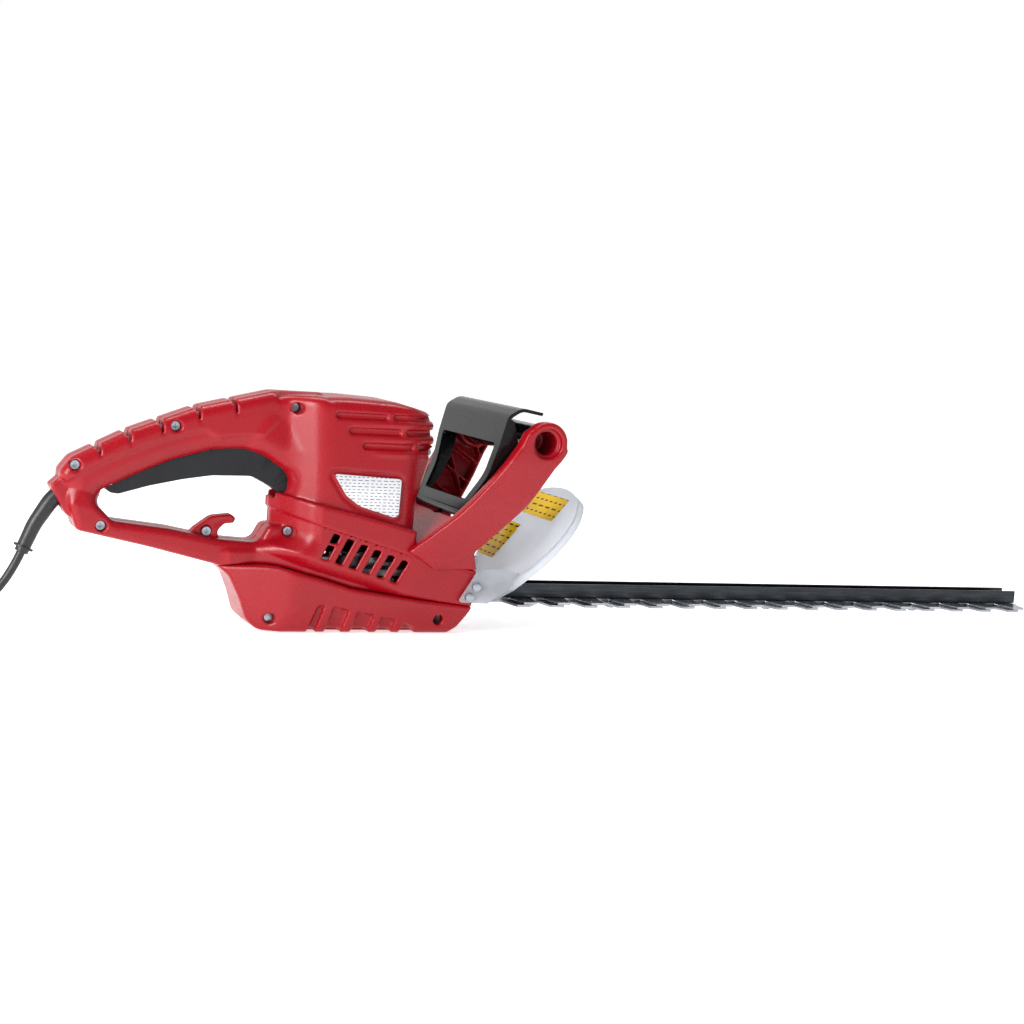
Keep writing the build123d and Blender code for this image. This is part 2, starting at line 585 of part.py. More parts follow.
with BuildPart() as blade_rail:
    add(box_between((RAIL_START_X, -RAIL_HALF, RAIL_Z), (RAIL_END_X, RAIL_HALF, RAIL_TOP_Z)))
    inner = RAIL_HALF - SHEET
    add(box_between((0, -inner, RAIL_Z + SHEET), (RAIL_END_X + 5, inner, RAIL_TOP_Z + 5)), mode=Mode.SUBTRACT)
    for bolt_x in BOLT_XS:
        add(cylinder_z(bolt_x, 0, BOLT_R + 0.02, RAIL_Z - 1, RAIL_Z + SHEET + 1), mode=Mode.SUBTRACT)
    for block_x, block_y in BLOCK_SCREWS:
        add(cylinder_z(block_x, block_y, 2.02, RAIL_Z - 1, RAIL_Z + SHEET + 1), mode=Mode.SUBTRACT)
save("blade_rail", blade_rail.part)

YOKE_X_HALF = CAM_R + 2 * STROKE + 0.6
YOKE_Y_HALF = CAM_R + STROKE + 0.6
SLOT_LENGTH = 2 * (BOLT_R + STROKE + 0.4)
TOOTH_ROOT, TOOTH_END = 21, 12


def blade_solid(under_z, tooth_shift):
    """A double-sided toothed blade with the yoke window that its eccentric turns in."""
    with BuildPart() as blade:
        with BuildSketch(Plane.XY.offset(under_z)):
            with Locations((GEAR_X, 0)):
                RectangleRounded(2 * YOKE_X_HALF + 14, 2 * YOKE_Y_HALF + 13, 8)
            with BuildLine():
                Polyline((GEAR_X + YOKE_X_HALF, -SPINE_HALF), (650, -SPINE_HALF), (BLADE_TIP_X - STROKE, -17),
                         (BLADE_TIP_X - STROKE, 17), (650, SPINE_HALF), (GEAR_X + YOKE_X_HALF, SPINE_HALF), close=True)
            make_face()
            for k in range(TOOTH_COUNT):
                x = FIRST_TOOTH_X + TOOTH_PITCH * k + tooth_shift
                for side in (-1, 1):
                    with BuildLine():
                        Polyline((x - TOOTH_ROOT / 2, side * 11), (x - TOOTH_END / 2, side * TOOTH_REACH),
                                 (x + TOOTH_END / 2, side * TOOTH_REACH), (x + TOOTH_ROOT / 2, side * 11), close=True)
                    make_face()
            with Locations((GEAR_X, 0)):
                RectangleRounded(2 * YOKE_X_HALF, 2 * YOKE_Y_HALF, 6, mode=Mode.SUBTRACT)
            with Locations(*[(bolt_x, 0) for bolt_x in BOLT_XS]):
                SlotOverall(SLOT_LENGTH, 2 * (BOLT_R + GAP), mode=Mode.SUBTRACT)
        extrude(amount=BLADE_THICK)
    return blade.part


save("upper_blade", blade_solid(UPPER_BLADE_Z, 3))
save("lower_blade", blade_solid(LOWER_BLADE_Z, -3))

NUT_TOP_Z = LOWER_BLADE_Z - GAP
with BuildPart() as blade_bolts:
    for bolt_x in BOLT_XS:
        add(cylinder_z(bolt_x, 0, BOLT_R, NUT_TOP_Z - 5, RAIL_Z + SHEET))
        with BuildSketch(Plane((bolt_x, 0, RAIL_Z + SHEET))):
            RegularPolygon(5.7, 6)
        extrude(amount=4)
save("blade_bolts", blade_bolts.part)

with BuildPart() as blade_nuts:
    for bolt_x in BOLT_XS:
        with BuildSketch(Plane((bolt_x, 0, NUT_TOP_Z - 4))):
            RegularPolygon(5.7, 6)
            Circle(BOLT_R + 0.02, mode=Mode.SUBTRACT)
        extrude(amount=3)
        with BuildSketch(Plane((bolt_x, 0, NUT_TOP_Z - 1))):
            Circle(8)
            Circle(BOLT_R + 0.02, mode=Mode.SUBTRACT)
        extrude(amount=1)
save("blade_nuts", blade_nuts.part)

# ---------------------------------------------------------------- gear drive
PLATE_THICK = 5
PLATE_TOP_Z = PLATE_Z + PLATE_THICK
SHAFT_R = 4
BEARING_R = 11

with BuildPart() as gear_plate:
    with BuildSketch(Plane.XY.offset(PLATE_Z)):
        with BuildLine():
            FilletPolyline((-28, -22), (-5, -34), (60, -34), (93, -14), (93, 14), (60, 34), (-5, 34), (-28, 22),
                           radius=6, close=True)
        make_face()
    extrude(amount=PLATE_THICK)
    add(cylinder_z(MOTOR_X, 0, BEARING_R + 3, PLATE_Z, PLATE_TOP_Z + 8))
    add(cylinder_z(GEAR_X, 0, 11, PLATE_Z, PLATE_TOP_Z + 3))
    add(cylinder_z(MOTOR_X, 0, BEARING_R + 0.02, PLATE_TOP_Z + 1, 80), mode=Mode.SUBTRACT)
    add(cylinder_z(MOTOR_X, 0, 7.4, 0, 80), mode=Mode.SUBTRACT)
    add(cylinder_z(GEAR_X, 0, BUSH_R + 0.02, 0, 80), mode=Mode.SUBTRACT)
    for block_x, block_y in BLOCK_SCREWS:
        add(cylinder_z(block_x, block_y, 2.02, 0, 80), mode=Mode.SUBTRACT)
save("gear_plate", gear_plate.part)

with BuildPart() as rail_block:
    add(box_between((80, -9, RAIL_Z + SHEET), (93, 9, PLATE_Z)))
    for block_x, block_y in BLOCK_SCREWS:
        add(cylinder_z(block_x, block_y, 2.02, 0, 80), mode=Mode.SUBTRACT)
save("rail_block", rail_block.part)

with BuildPart() as rail_screws:
    for block_x, block_y in BLOCK_SCREWS:
        add(cylinder_z(block_x, block_y, 2, RAIL_Z + 0.1, PLATE_TOP_Z))
        add(cylinder_z(block_x, block_y, 2.9, PLATE_TOP_Z, PLATE_TOP_Z + 1.5))
save("rail_screws", rail_screws.part)


def bush_solid(low_z, high_z):
    """A plain bronze bush of the gear's shaft."""
    with BuildPart() as bush:
        add(cylinder_z(GEAR_X, 0, BUSH_R, low_z, high_z))
        add(cylinder_z(GEAR_X, 0, SHAFT_R + RUNNING, 0, 80), mode=Mode.SUBTRACT)
    return bush.part


save("lower_bush", bush_solid(BUSH_LOW_Z, BUSH_HIGH_Z))
save("upper_bush", bush_solid(PLATE_Z + 0.2, PLATE_TOP_Z + 3))


def toothed_wheel(teeth, x, first_angle, low_z, high_z):
    """A spur wheel with straight-flanked teeth, thinned for backlash."""
    pitch_r = GEAR_MODULE * teeth / 2
    root_r, tip_r = pitch_r - 1.15 * GEAR_MODULE, pitch_r + 0.85 * GEAR_MODULE
    root_half, tip_half = 0.9 * GEAR_MODULE, 0.32 * GEAR_MODULE
    with BuildPart() as wheel:
        with BuildSketch(Plane((x, 0, low_z))):
            Circle(root_r)
            with PolarLocations(0, teeth, start_angle=first_angle):
                with BuildLine():
                    Polyline((root_r - 0.4, -root_half), (tip_r, -tip_half), (tip_r, tip_half),
                             (root_r - 0.4, root_half), close=True)
                make_face()
        extrude(amount=high_z - low_z)
    return wheel.part


with BuildPart() as drive_gear:
    add(toothed_wheel(GEAR_TEETH, GEAR_X, 180 / GEAR_TEETH, GEAR_Z, GEAR_Z + GEAR_THICK))
    add(cylinder_z(GEAR_X, 0, 9, GEAR_Z, PLATE_Z - 0.5))
    add(cylinder_z(GEAR_X, 0, SHAFT_R + 0.02, 0, 80), mode=Mode.SUBTRACT)
save("drive_gear", drive_gear.part)

with BuildPart() as eccentric_cam:
    add(cylinder_z(GEAR_X, 0, 6, 19.8, GEAR_Z))
    add(cylinder_z(GEAR_X, STROKE, CAM_R, UPPER_BLADE_Z - 0.1, UPPER_BLADE_Z + BLADE_THICK + 0.4))
    add(cylinder_z(GEAR_X, -STROKE, CAM_R, LOWER_BLADE_Z - 0.4, UPPER_BLADE_Z - 0.1))
    add(cylinder_z(GEAR_X, 0, SHAFT_R + 0.02, 0, 80), mode=Mode.SUBTRACT)
save("eccentric_cam", eccentric_cam.part)
save("gear_shaft", cylinder_z(GEAR_X, 0, SHAFT_R, 6, PLATE_TOP_Z + 3))

# ---------------------------------------------------------------- motor
FAN_Z, CORE_Z, CORE_HIGH = 64, 88, 42
MOTOR_SHAFT_R = 4
COMMUTATOR_Z, TOP_BEARING_Z = 142, 161

with BuildPart() as motor_shaft:
    add(cylinder_z(MOTOR_X, 0, MOTOR_SHAFT_R, GEAR_Z - 1, TOP_BEARING_Z + 7))
    add(toothed_wheel(PINION_TEETH, MOTOR_X, 0, GEAR_Z - 1, GEAR_Z + GEAR_THICK + 1))
save("motor_shaft", motor_shaft.part)


def ring_between(outer_r, inner_r, low_z, high_z):
    """A ring about the motor's axis."""
    with BuildPart() as ring:
        add(cylinder_z(MOTOR_X, 0, outer_r, low_z, high_z))
        add(cylinder_z(MOTOR_X, 0, inner_r, low_z - 1, high_z + 1), mode=Mode.SUBTRACT)
    return ring.part


save("armature_core", ring_between(16.6, MOTOR_SHAFT_R + 0.02, CORE_Z, CORE_Z + CORE_HIGH))
with BuildPart() as armature_windings:
    for low_z in (CORE_Z - 8, CORE_Z + CORE_HIGH):
        add(ring_between(14, MOTOR_SHAFT_R + 0.02, low_z, low_z + 8))
save("armature_windings", armature_windings.part)

with BuildPart() as commutator:
    add(ring_between(11, MOTOR_SHAFT_R + 0.02, COMMUTATOR_Z, COMMUTATOR_Z + 13))
    with BuildSketch(Plane((MOTOR_X, 0, COMMUTATOR_Z))):
        with PolarLocations(11, 24):
            Rectangle(1.6, 0.5)
    extrude(amount=13, mode=Mode.SUBTRACT)
save("commutator", commutator.part)

with BuildPart() as cooling_fan:
    add(ring_between(30, MOTOR_SHAFT_R + 0.02, FAN_Z, FAN_Z + 2))
    add(ring_between(8, MOTOR_SHAFT_R + 0.02, FAN_Z, FAN_Z + 12))
    with BuildSketch(Plane((MOTOR_X, 0, FAN_Z + 2))):
        with PolarLocations(19.5, 11, start_angle=8):
            Rectangle(19, 1.4, rotation=18)
    extrude(amount=10)
save("cooling_fan", cooling_fan.part)

with BuildPart() as stator_core:
    add(ring_between(29, 17.4, CORE_Z, CORE_Z + CORE_HIGH))
    add(box_between((-23, -40, 0), (23, 40, 200)), mode=Mode.INTERSECT)
save("stator_core", stator_core.part)

with BuildPart() as field_coils:
    for low_z in (CORE_Z - 7, CORE_Z + CORE_HIGH):
        add(ring_between(26, 18, low_z, low_z + 7))
    add(box_between((-40, -9, 0), (40, 9, 200)), mode=Mode.SUBTRACT)
save("field_coils", field_coils.part)

BRUSH_Z = COMMUTATOR_Z + 6.5
with BuildPart() as carbon_brushes:
    add(box_between((-3, 11.4, BRUSH_Z - 4), (3, 26, BRUSH_Z + 4)))
    add(box_between((-3, -26, BRUSH_Z - 4), (3, -11.4, BRUSH_Z + 4)))
save("carbon_brushes", carbon_brushes.part)

with BuildPart() as brush_holders:
    add(box_between((-4.5, 13.5, BRUSH_Z - 5.5), (4.5, 31, BRUSH_Z + 5.5)))
    add(box_between((-4.5, -31, BRUSH_Z - 5.5), (4.5, -13.5, BRUSH_Z + 5.5)))
    add(box_between((-3.05, -29, BRUSH_Z - 4.05), (3.05, 29, BRUSH_Z + 4.05)), mode=Mode.SUBTRACT)
save("brush_holders", brush_holders.part)


def ball_bearing(low_z):
    """Inner ring, outer ring and balls of a deep-groove bearing, 22 mm outside and 8 mm inside."""
    with BuildPart() as rings:
        add(ring_between(BEARING_R, 8.7, low_z, low_z + 7))
        add(ring_between(6.3, MOTOR_SHAFT_R + 0.02, low_z, low_z + 7))
        with Locations(Plane((MOTOR_X, 0, low_z + 3.5))):
            with PolarLocations(7.5, 7):
                Sphere(1.15)
    return rings.part


save("lower_bearing", ball_bearing(PLATE_TOP_Z + 1))
save("upper_bearing", ball_bearing(TOP_BEARING_Z))

with BuildPart() as bearing_bridge:
    add(box_between((-10, -37, TOP_BEARING_Z), (10, 37, TOP_BEARING_Z + 7)))
    add(cylinder_z(MOTOR_X, 0, BEARING_R + 3, TOP_BEARING_Z, TOP_BEARING_Z + 9))
    add(cylinder_z(MOTOR_X, 0, BEARING_R + 0.02, TOP_BEARING_Z - 1, TOP_BEARING_Z + 7), mode=Mode.SUBTRACT)
save("bearing_bridge", bearing_bridge.part)

# ---------------------------------------------------------------- strain relief, cord and plug
CORD_ROUTE = [(-265, 0, 56), (-277.1, 0, 26.4), (-311, 0, 3.6), (-350, -6, 3.6), (-389, 2, 3.6), (-423, 20, 3.6),
              (-449, 40, 7)]


def corner_radii(route):
    """Each corner's arc: 0.45 of its shorter run over the tangent of half its turn."""
    radii = []
    for before, corner, after in zip(route, route[1:], route[2:]):
        run_in, run_out = Vector(corner) - Vector(before), Vector(after) - Vector(corner)
        half_turn = radians(run_in.get_angle(run_out)) / 2
        radii.append(0.45 * min(run_in.length, run_out.length) / tan(half_turn))
    return radii


with BuildPart() as strain_relief:
    add(sleeve_solid(7.2, 5.4))
    sleeve_end = Plane((-265, 0, 56), z_dir=(-0.379, 0, -0.926))
    with BuildSketch(sleeve_end.offset(-5)):
        Circle(8)
    extrude(amount=1.6)
save("strain_relief", strain_relief.part)

with BuildPart() as power_cord:
    with BuildLine() as cord_line:
        FilletPolyline(*CORD_ROUTE, radius=corner_radii(CORD_ROUTE))
    cord_wire = cord_line.wires()[0]
    with BuildSketch(Plane(cord_wire @ 0, z_dir=cord_wire % 0)):
        Circle(CORD_R)
    sweep(path=cord_wire)
save("power_cord", power_cord.part)
print("cord radii", [round(radius, 1) for radius in corner_radii(CORD_ROUTE)])
print("cord length", round(cord_wire.length, 1), "volume over section times length",
      round(power_cord.part.volume / (pi * CORD_R ** 2 * cord_wire.length), 4))

PLUG_PLANE = Plane((-449, 40, 0), x_dir=(-26, 20, 0), z_dir=(0, 0, 1))
PLUG_HIGH = 14
with BuildPart() as plug_body:
    with BuildSketch(PLUG_PLANE):
        with BuildLine():
            FilletPolyline((0, -5), (14, -6), (24, -13), (36, -13), (36, 13), (24, 13), (14, 6), (0, 5),
                           radius=[1, 8, 5, 1, 1, 5, 8, 1], close=True)
        make_face()
    extrude(amount=PLUG_HIGH)
save("plug_body", plug_body.part)

with BuildPart() as plug_pins:
    pin_face = Plane(PLUG_PLANE.from_local_coords((36, 0, PLUG_HIGH / 2)), x_dir=PLUG_PLANE.y_dir,
                     z_dir=PLUG_PLANE.x_dir)
    with BuildSketch(pin_face):
        with GridLocations(18.6, 0, 2, 1):
            Circle(2)
    extrude(amount=19)
save("plug_pins", plug_pins.part)
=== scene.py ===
"""Looks of the electric hedge trimmer: moulded red housings, black grips, clear guard, steel blades.

Shapes are carved in millimetres as distance fields and skinned; everything is in the CAD model's frame.
"""
import json
from functools import reduce
from math import cos, hypot, pi, radians, sin, tan

import bpy
import numpy as np
from mathutils import Matrix, Vector

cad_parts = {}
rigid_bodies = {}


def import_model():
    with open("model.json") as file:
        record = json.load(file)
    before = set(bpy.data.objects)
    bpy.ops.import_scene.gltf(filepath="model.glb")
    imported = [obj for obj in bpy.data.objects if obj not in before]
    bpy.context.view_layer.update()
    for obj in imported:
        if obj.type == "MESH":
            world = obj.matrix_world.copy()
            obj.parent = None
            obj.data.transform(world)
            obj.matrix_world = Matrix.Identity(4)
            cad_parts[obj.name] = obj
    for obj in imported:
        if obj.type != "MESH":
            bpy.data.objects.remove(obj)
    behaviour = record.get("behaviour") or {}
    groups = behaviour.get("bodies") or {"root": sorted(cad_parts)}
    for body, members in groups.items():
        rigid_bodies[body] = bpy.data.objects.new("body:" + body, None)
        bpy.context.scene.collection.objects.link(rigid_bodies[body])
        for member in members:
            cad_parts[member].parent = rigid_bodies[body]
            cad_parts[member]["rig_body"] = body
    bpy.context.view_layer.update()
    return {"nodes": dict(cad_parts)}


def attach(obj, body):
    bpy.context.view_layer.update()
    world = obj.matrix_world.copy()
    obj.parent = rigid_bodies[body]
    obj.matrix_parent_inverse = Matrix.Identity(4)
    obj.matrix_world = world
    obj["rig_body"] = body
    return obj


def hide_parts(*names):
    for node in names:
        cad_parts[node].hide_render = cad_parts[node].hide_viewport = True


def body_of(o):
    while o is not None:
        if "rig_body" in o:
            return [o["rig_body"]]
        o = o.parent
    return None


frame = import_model()
NODES = frame["nodes"]
MM = 0.001


def make_camera():
    """The camera stands to the right of the trimmer, a little behind it and above it."""
    lens = bpy.data.cameras.new("camera")
    lens.lens = 67.08
    lens.sensor_width = 36
    lens.clip_end = 60
    camera = bpy.data.objects.new("camera", lens)
    bpy.context.collection.objects.link(camera)
    right, up = (0.92370, -0.37570, 0.07506), (-0.02845, 0.12811, 0.99137)
    turn = Matrix((right, up, (-0.38207, -0.91785, 0.10765)))
    camera.matrix_world = Matrix.Translation((-0.4809, -1.5072, 0.2758)) @ turn.transposed().to_4x4()
    bpy.context.scene.camera = camera


make_camera()


# ---------------------------------------------------------------- finishes
def linear(colour):
    """An sRGB hex colour as the linear colour that shaders use."""
    parts = [int(colour[k:k + 2], 16) / 255 for k in (1, 3, 5)]
    return tuple(c / 12.92 if c <= 0.04045 else ((c + 0.055) / 1.055) ** 2.4 for c in parts) + (1.0,)


def add(tree, kind, settings=None, sockets=None):
    """Adds a node. Sockets take a value, or another node's output to link from."""
    made = tree.nodes.new(kind)
    for key, value in (settings or {}).items():
        setattr(made, key, value)
    for key, value in (sockets or {}).items():
        if isinstance(value, bpy.types.NodeSocket):
            tree.links.new(value, made.inputs[key])
        else:
            made.inputs[key].default_value = value
    return made


def finish_of(name, surface):
    """A new material, its tree, its Object coordinates and its shader with these constant values."""
    material = bpy.data.materials.new(name)
    material.use_nodes = True
    tree = material.node_tree
    tree.nodes.clear()
    place = add(tree, "ShaderNodeTexCoord").outputs["Object"]
    shader = add(tree, "ShaderNodeBsdfPrincipled", sockets=surface)
    add(tree, "ShaderNodeOutputMaterial", sockets={"Surface": shader.outputs[0]})
    return material, tree, place, shader


def moulded_plastic(name, base, tint, roughness, grain_mm, grain_depth, surface):
    """Injection-moulded plastic: a spark-eroded grain, faint flow mottling and uneven gloss."""
    material, tree, place, shader = finish_of(name, surface)
    mottle = add(tree, "ShaderNodeTexNoise", 
                 sockets={"Vector": place, "Scale": 1 / (38 * MM), "Detail": 3.0})
    grain = add(tree, "ShaderNodeTexNoise", 
                sockets={"Vector": place, "Scale": 1 / (grain_mm * MM), "Detail": 2.0})
    colour = add(tree, "ShaderNodeMix", {"data_type": "RGBA"},
                 {0: mottle.outputs[0], 6: linear(base), 7: linear(tint)})
    tree.links.new(colour.outputs[2], shader.inputs["Base Color"])
    gloss = add(tree, "ShaderNodeMapRange", sockets={"Value": grain.outputs[0], 1: 0.35, 2: 0.65,
                                                     3: roughness - 0.07, 4: roughness + 0.09})
    tree.links.new(gloss.outputs[0], shader.inputs["Roughness"])
    bump = add(tree, "ShaderNodeBump", sockets={"Height": grain.outputs[0], "Strength": 1.0,
                                                "Distance": grain_depth * MM})
    tree.links.new(bump.outputs[0], shader.inputs["Normal"])
    return material


def metal(name, base, tint, roughness, streak_mm, depth_mm=0.01, stretch=(1, 1, 1)):
    """Metal with rolled, ground or cast marks: streaks of this width, drawn out along one axis."""
    material, tree, place, shader = finish_of(name, {"Metallic": 1.0})
    drawn = add(tree, "ShaderNodeMapping", sockets={"Vector": place, "Scale": stretch})
    streaks = add(tree, "ShaderNodeTexNoise",
                  sockets={"Vector": drawn.outputs[0], "Scale": 1 / (streak_mm * MM), "Detail": 4.0,
                           "Roughness": 0.6})
    stain = add(tree, "ShaderNodeTexNoise",
                sockets={"Vector": place, "Scale": 1 / (22 * MM), "Detail": 4.0})
    colour = add(tree, "ShaderNodeMix", {"data_type": "RGBA"},
                 {0: stain.outputs[0], 6: linear(base), 7: linear(tint)})
    tree.links.new(colour.outputs[2], shader.inputs["Base Color"])
    gloss = add(tree, "ShaderNodeMapRange", sockets={"Value": streaks.outputs[0], 1: 0.3, 2: 0.7,
                                                     3: roughness * 0.6, 4: roughness * 1.5})
    tree.links.new(gloss.outputs[0], shader.inputs["Roughness"])
    bump = add(tree, "ShaderNodeBump", sockets={"Height": streaks.outputs[0], "Strength": 0.6,
                                                "Distance": depth_mm * MM})
    tree.links.new(bump.outputs[0], shader.inputs["Normal"])
    return material


def printed_label(name, paper, ink, turn, corner, cell_mm, cover):
    """Vinyl label with generic printed blocks: rows of dashes on the label's own plane."""
    material, tree, place, shader = finish_of(name, {"Roughness": 0.45, "Specular IOR Level": 0.25})
    flat = add(tree, "ShaderNodeMapping", {"vector_type": "TEXTURE"},
               {"Vector": place, "Location": corner, "Rotation": turn})
    rows = add(tree, "ShaderNodeTexBrick", {"offset": 0.37, "offset_frequency": 2, "squash": 0.7},
               {"Vector": flat.outputs[0], "Color1": (0, 0, 0, 1), "Color2": (1, 1, 1, 1),
                "Mortar": (1, 1, 1, 1), "Scale": 1 / (cell_mm * MM), "Mortar Size": 0.16, "Brick Width": 0.9,
                "Row Height": 0.42,
                "Mortar Smooth": 0.0, "Bias": cover})
    dash = add(tree, "ShaderNodeMath", {"operation": "GREATER_THAN"}, {0: rows.outputs[0], 1: 0.5})
    wear = add(tree, "ShaderNodeTexNoise", sockets={"Vector": place, "Scale": 1 / (7 * MM), "Detail": 5.0})
    dirty = add(tree, "ShaderNodeMapRange",
                sockets={"Value": wear.outputs[0], 1: 0.4, 2: 0.9, 3: 1.0, 4: 0.93})
    shade = add(tree, "ShaderNodeMix", {"data_type": "RGBA"},
                {0: dash.outputs[0], 6: linear(ink), 7: linear(paper)})
    soiled = add(tree, "ShaderNodeMix", {"data_type": "RGBA", "blend_type": "MULTIPLY"},
                 {0: 1.0, 6: shade.outputs[2], 7: dirty.outputs[0]})
    tree.links.new(soiled.outputs[2], shader.inputs["Base Color"])
    return material


# Red ABS, spark-eroded mould: satin, so highlights break into fine sparkle.
RED_ABS = moulded_plastic("moulded_red_ABS", "#9C0316", "#8A0312", 0.3, 1.1, 0.03,
                          {"IOR": 1.53, "Specular IOR Level": 0.34})
# Black ABS switch lever: a smoother mould, so it shines softly.
BLACK_ABS = moulded_plastic("moulded_black_ABS", "#08090A", "#0E0F11", 0.22, 0.9, 0.012,
                            {"IOR": 1.53, "Specular IOR Level": 0.2})
# Polished black polypropylene tube.
GLOSS_BLACK = moulded_plastic("polished_black_polypropylene", "#0B0B0C", "#111113", 0.14, 6.0, 0.01,
                              {"IOR": 1.49})
# Soft-touch black rubber of the trigger: matt with a coarse grain that shows as mottling.
TRIGGER_RUBBER = moulded_plastic("soft_touch_black_rubber", "#0E0F10", "#24262A", 0.5, 1.6, 0.12,
                                 {"IOR": 1.5, "Specular IOR Level": 0.3})
# PVC of cord, strain relief and plug.
CORD_PVC = moulded_plastic("black_PVC", "#0D0E10", "#17191C", 0.42, 1.4, 0.03, {"IOR": 1.53})
# Phenolic of switches and brush gear.
SWITCH_PLASTIC = moulded_plastic("black_phenolic", "#121212", "#1A1A1A", 0.45, 1.0, 0.02, {"IOR": 1.6})
# Frosted polycarbonate guard: light passes, shapes behind it blur.
GUARD_CLEAR = moulded_plastic("frosted_polycarbonate", "#DCDFE5", "#D3D7DE", 0.42, 40.0, 0.002,
                              {"IOR": 1.3, "Transmission Weight": 0.7})
BRIGHT_ZINC = metal("bright_zinc_plate", "#A9AFB6", "#8E969F", 0.3, 0.5)
GROUND_STEEL = metal("ground_tool_steel", "#B9BCC0", "#8C8F94", 0.26, 0.6, 0.02, (1, 0.06, 1))
BLACK_STEEL = metal("blackened_steel_sheet", "#303236", "#42454A", 0.3, 1.5, 0.02, (0.05, 1, 1))
CAST_ALLOY = metal("cast_aluminium", "#A9ABAE", "#8E9094", 0.45, 1.5, 0.08)
BRONZE = metal("sintered_bronze", "#9A6F3C", "#7C562C", 0.4, 0.8, 0.04)
CORE_STEEL = metal("laminated_core_steel", "#4A4C50", "#35373A", 0.42, 0.6, 0.08, (0.1, 0.1, 1))
COPPER = metal("enamelled_copper", "#A65A2C", "#8A4520", 0.3, 0.5, 0.1, (0.2, 0.2, 1))
CARBON = moulded_plastic("pressed_carbon", "#1A1A1B", "#242425", 0.6, 0.8, 0.03, {"IOR": 1.7})
WHITE_LABEL = printed_label("printed_white_vinyl", "#D3D5D9", "#3E4045", (pi / 2, 0, 0),
                            (-0.03, -0.04, 0.097), 6.0, -0.5)
YELLOW_LABEL = printed_label("printed_yellow_vinyl", "#DDB300", "#15130A", (0, -radians(50), pi / 2),
                             (0.118, 0.0, 0.027), 10.0, -0.8)


# ---------------------------------------------------------------- cord
CORD_ROUTE = [(-265, 0, 56), (-277.1, 0, 26.4), (-311, 0, 3.6), (-350, -6, 3.6), (-389, 2, 3.6),
              (-423, 20, 3.6), (-449, 40, 7)]
CORD_R = 3.5


def lay_cord():
    """The mains cord: one smooth line down to the floor and along it."""
    line = bpy.data.curves.new("mains_cord", "CURVE")
    line.dimensions = "3D"
    line.bevel_depth = CORD_R * MM
    line.bevel_resolution = 8
    line.resolution_u = 24
    line.use_fill_caps = True
    spline = line.splines.new("NURBS")
    spline.points.add(len(CORD_ROUTE) - 1)
    for point, place in zip(spline.points, CORD_ROUTE):
        point.co = [v * MM for v in place] + [1]
    spline.order_u = 3
    spline.use_endpoint_u = True
    line.materials.append(CORD_PVC)
    cord = bpy.data.objects.new("mains_cord", line)
    bpy.context.collection.objects.link(cord)
    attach(cord, "housing")
    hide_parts("power_cord")
    return cord


mains_cord = lay_cord()


# ---------------------------------------------------------------- carving tools
def rounded(points, radii):
    """A closed outline with its corners rounded."""
    radii = radii if isinstance(radii, (list, tuple)) else [radii] * len(points)
    corners = [np.array(p, float) for p in points]
    line = []
    for k, (corner, radius) in enumerate(zip(corners, radii)):
        to_last = corners[k - 1] - corner
        to_next = corners[(k + 1) % len(corners)] - corner
        to_last, to_next = to_last / hypot(*to_last), to_next / hypot(*to_next)
        half = np.arccos(np.clip(to_last @ to_next, -1, 1)) / 2
        if radius <= 0 or half > pi / 2 - 0.01:
            line.append(corner)
            continue
        centre = corner + (to_last + to_next) / hypot(*(to_last + to_next)) * radius / sin(half)
        start, end = [corner + to * radius / tan(half) - centre for to in (to_last, to_next)]
        turn = np.arctan2(start[0] * end[1] - start[1] * end[0], start @ end)
        steps = max(2, int(abs(turn) / radians(6)))
        for step in range(steps + 1):
            c, s = cos(turn * step / steps), sin(turn * step / steps)
            line.append(centre + np.array((c * start[0] - s * start[1], s * start[0] + c * start[1])))
    return line


def flat_distance(line, u, v):
    """Signed distance to a closed outline, negative inside it."""
    u, v = np.broadcast_arrays(u, v)
    nearest = np.full(u.shape, 1e9)
    inside = np.zeros(u.shape, bool)
    for (au, av), (bu, bv) in zip(line, line[1:] + line[:1]):
        eu, ev = bu - au, bv - av
        span = eu * eu + ev * ev
        if span < 1e-9:
            continue
        t = np.clip(((u - au) * eu + (v - av) * ev) / span, 0, 1)
        nearest = np.minimum(nearest, (u - au - t * eu) ** 2 + (v - av - t * ev) ** 2)
        if ev:
            inside ^= ((av > v) != (bv > v)) & (u < au + (v - av) * eu / ev)
    return np.where(inside, -1, 1) * np.sqrt(nearest)


def meet(edge, *fields):
    """What all the fields share, with its edges rounded to this radius."""
    lifted = [f + edge for f in fields]
    away = np.sqrt(reduce(np.add, [np.maximum(f, 0) ** 2 for f in lifted]))
    return np.minimum(reduce(np.maximum, lifted), 0) + away - edge


def join(fillet, *fields):
    """All the fields together, with a fillet of this radius where they meet."""
    return -meet(fillet, *[-f for f in fields])


def within(field, soft=0.5):
    """1 inside a field, 0 outside it, with a soft edge."""
    return np.clip(0.5 - field / (2 * soft), 0, 1)


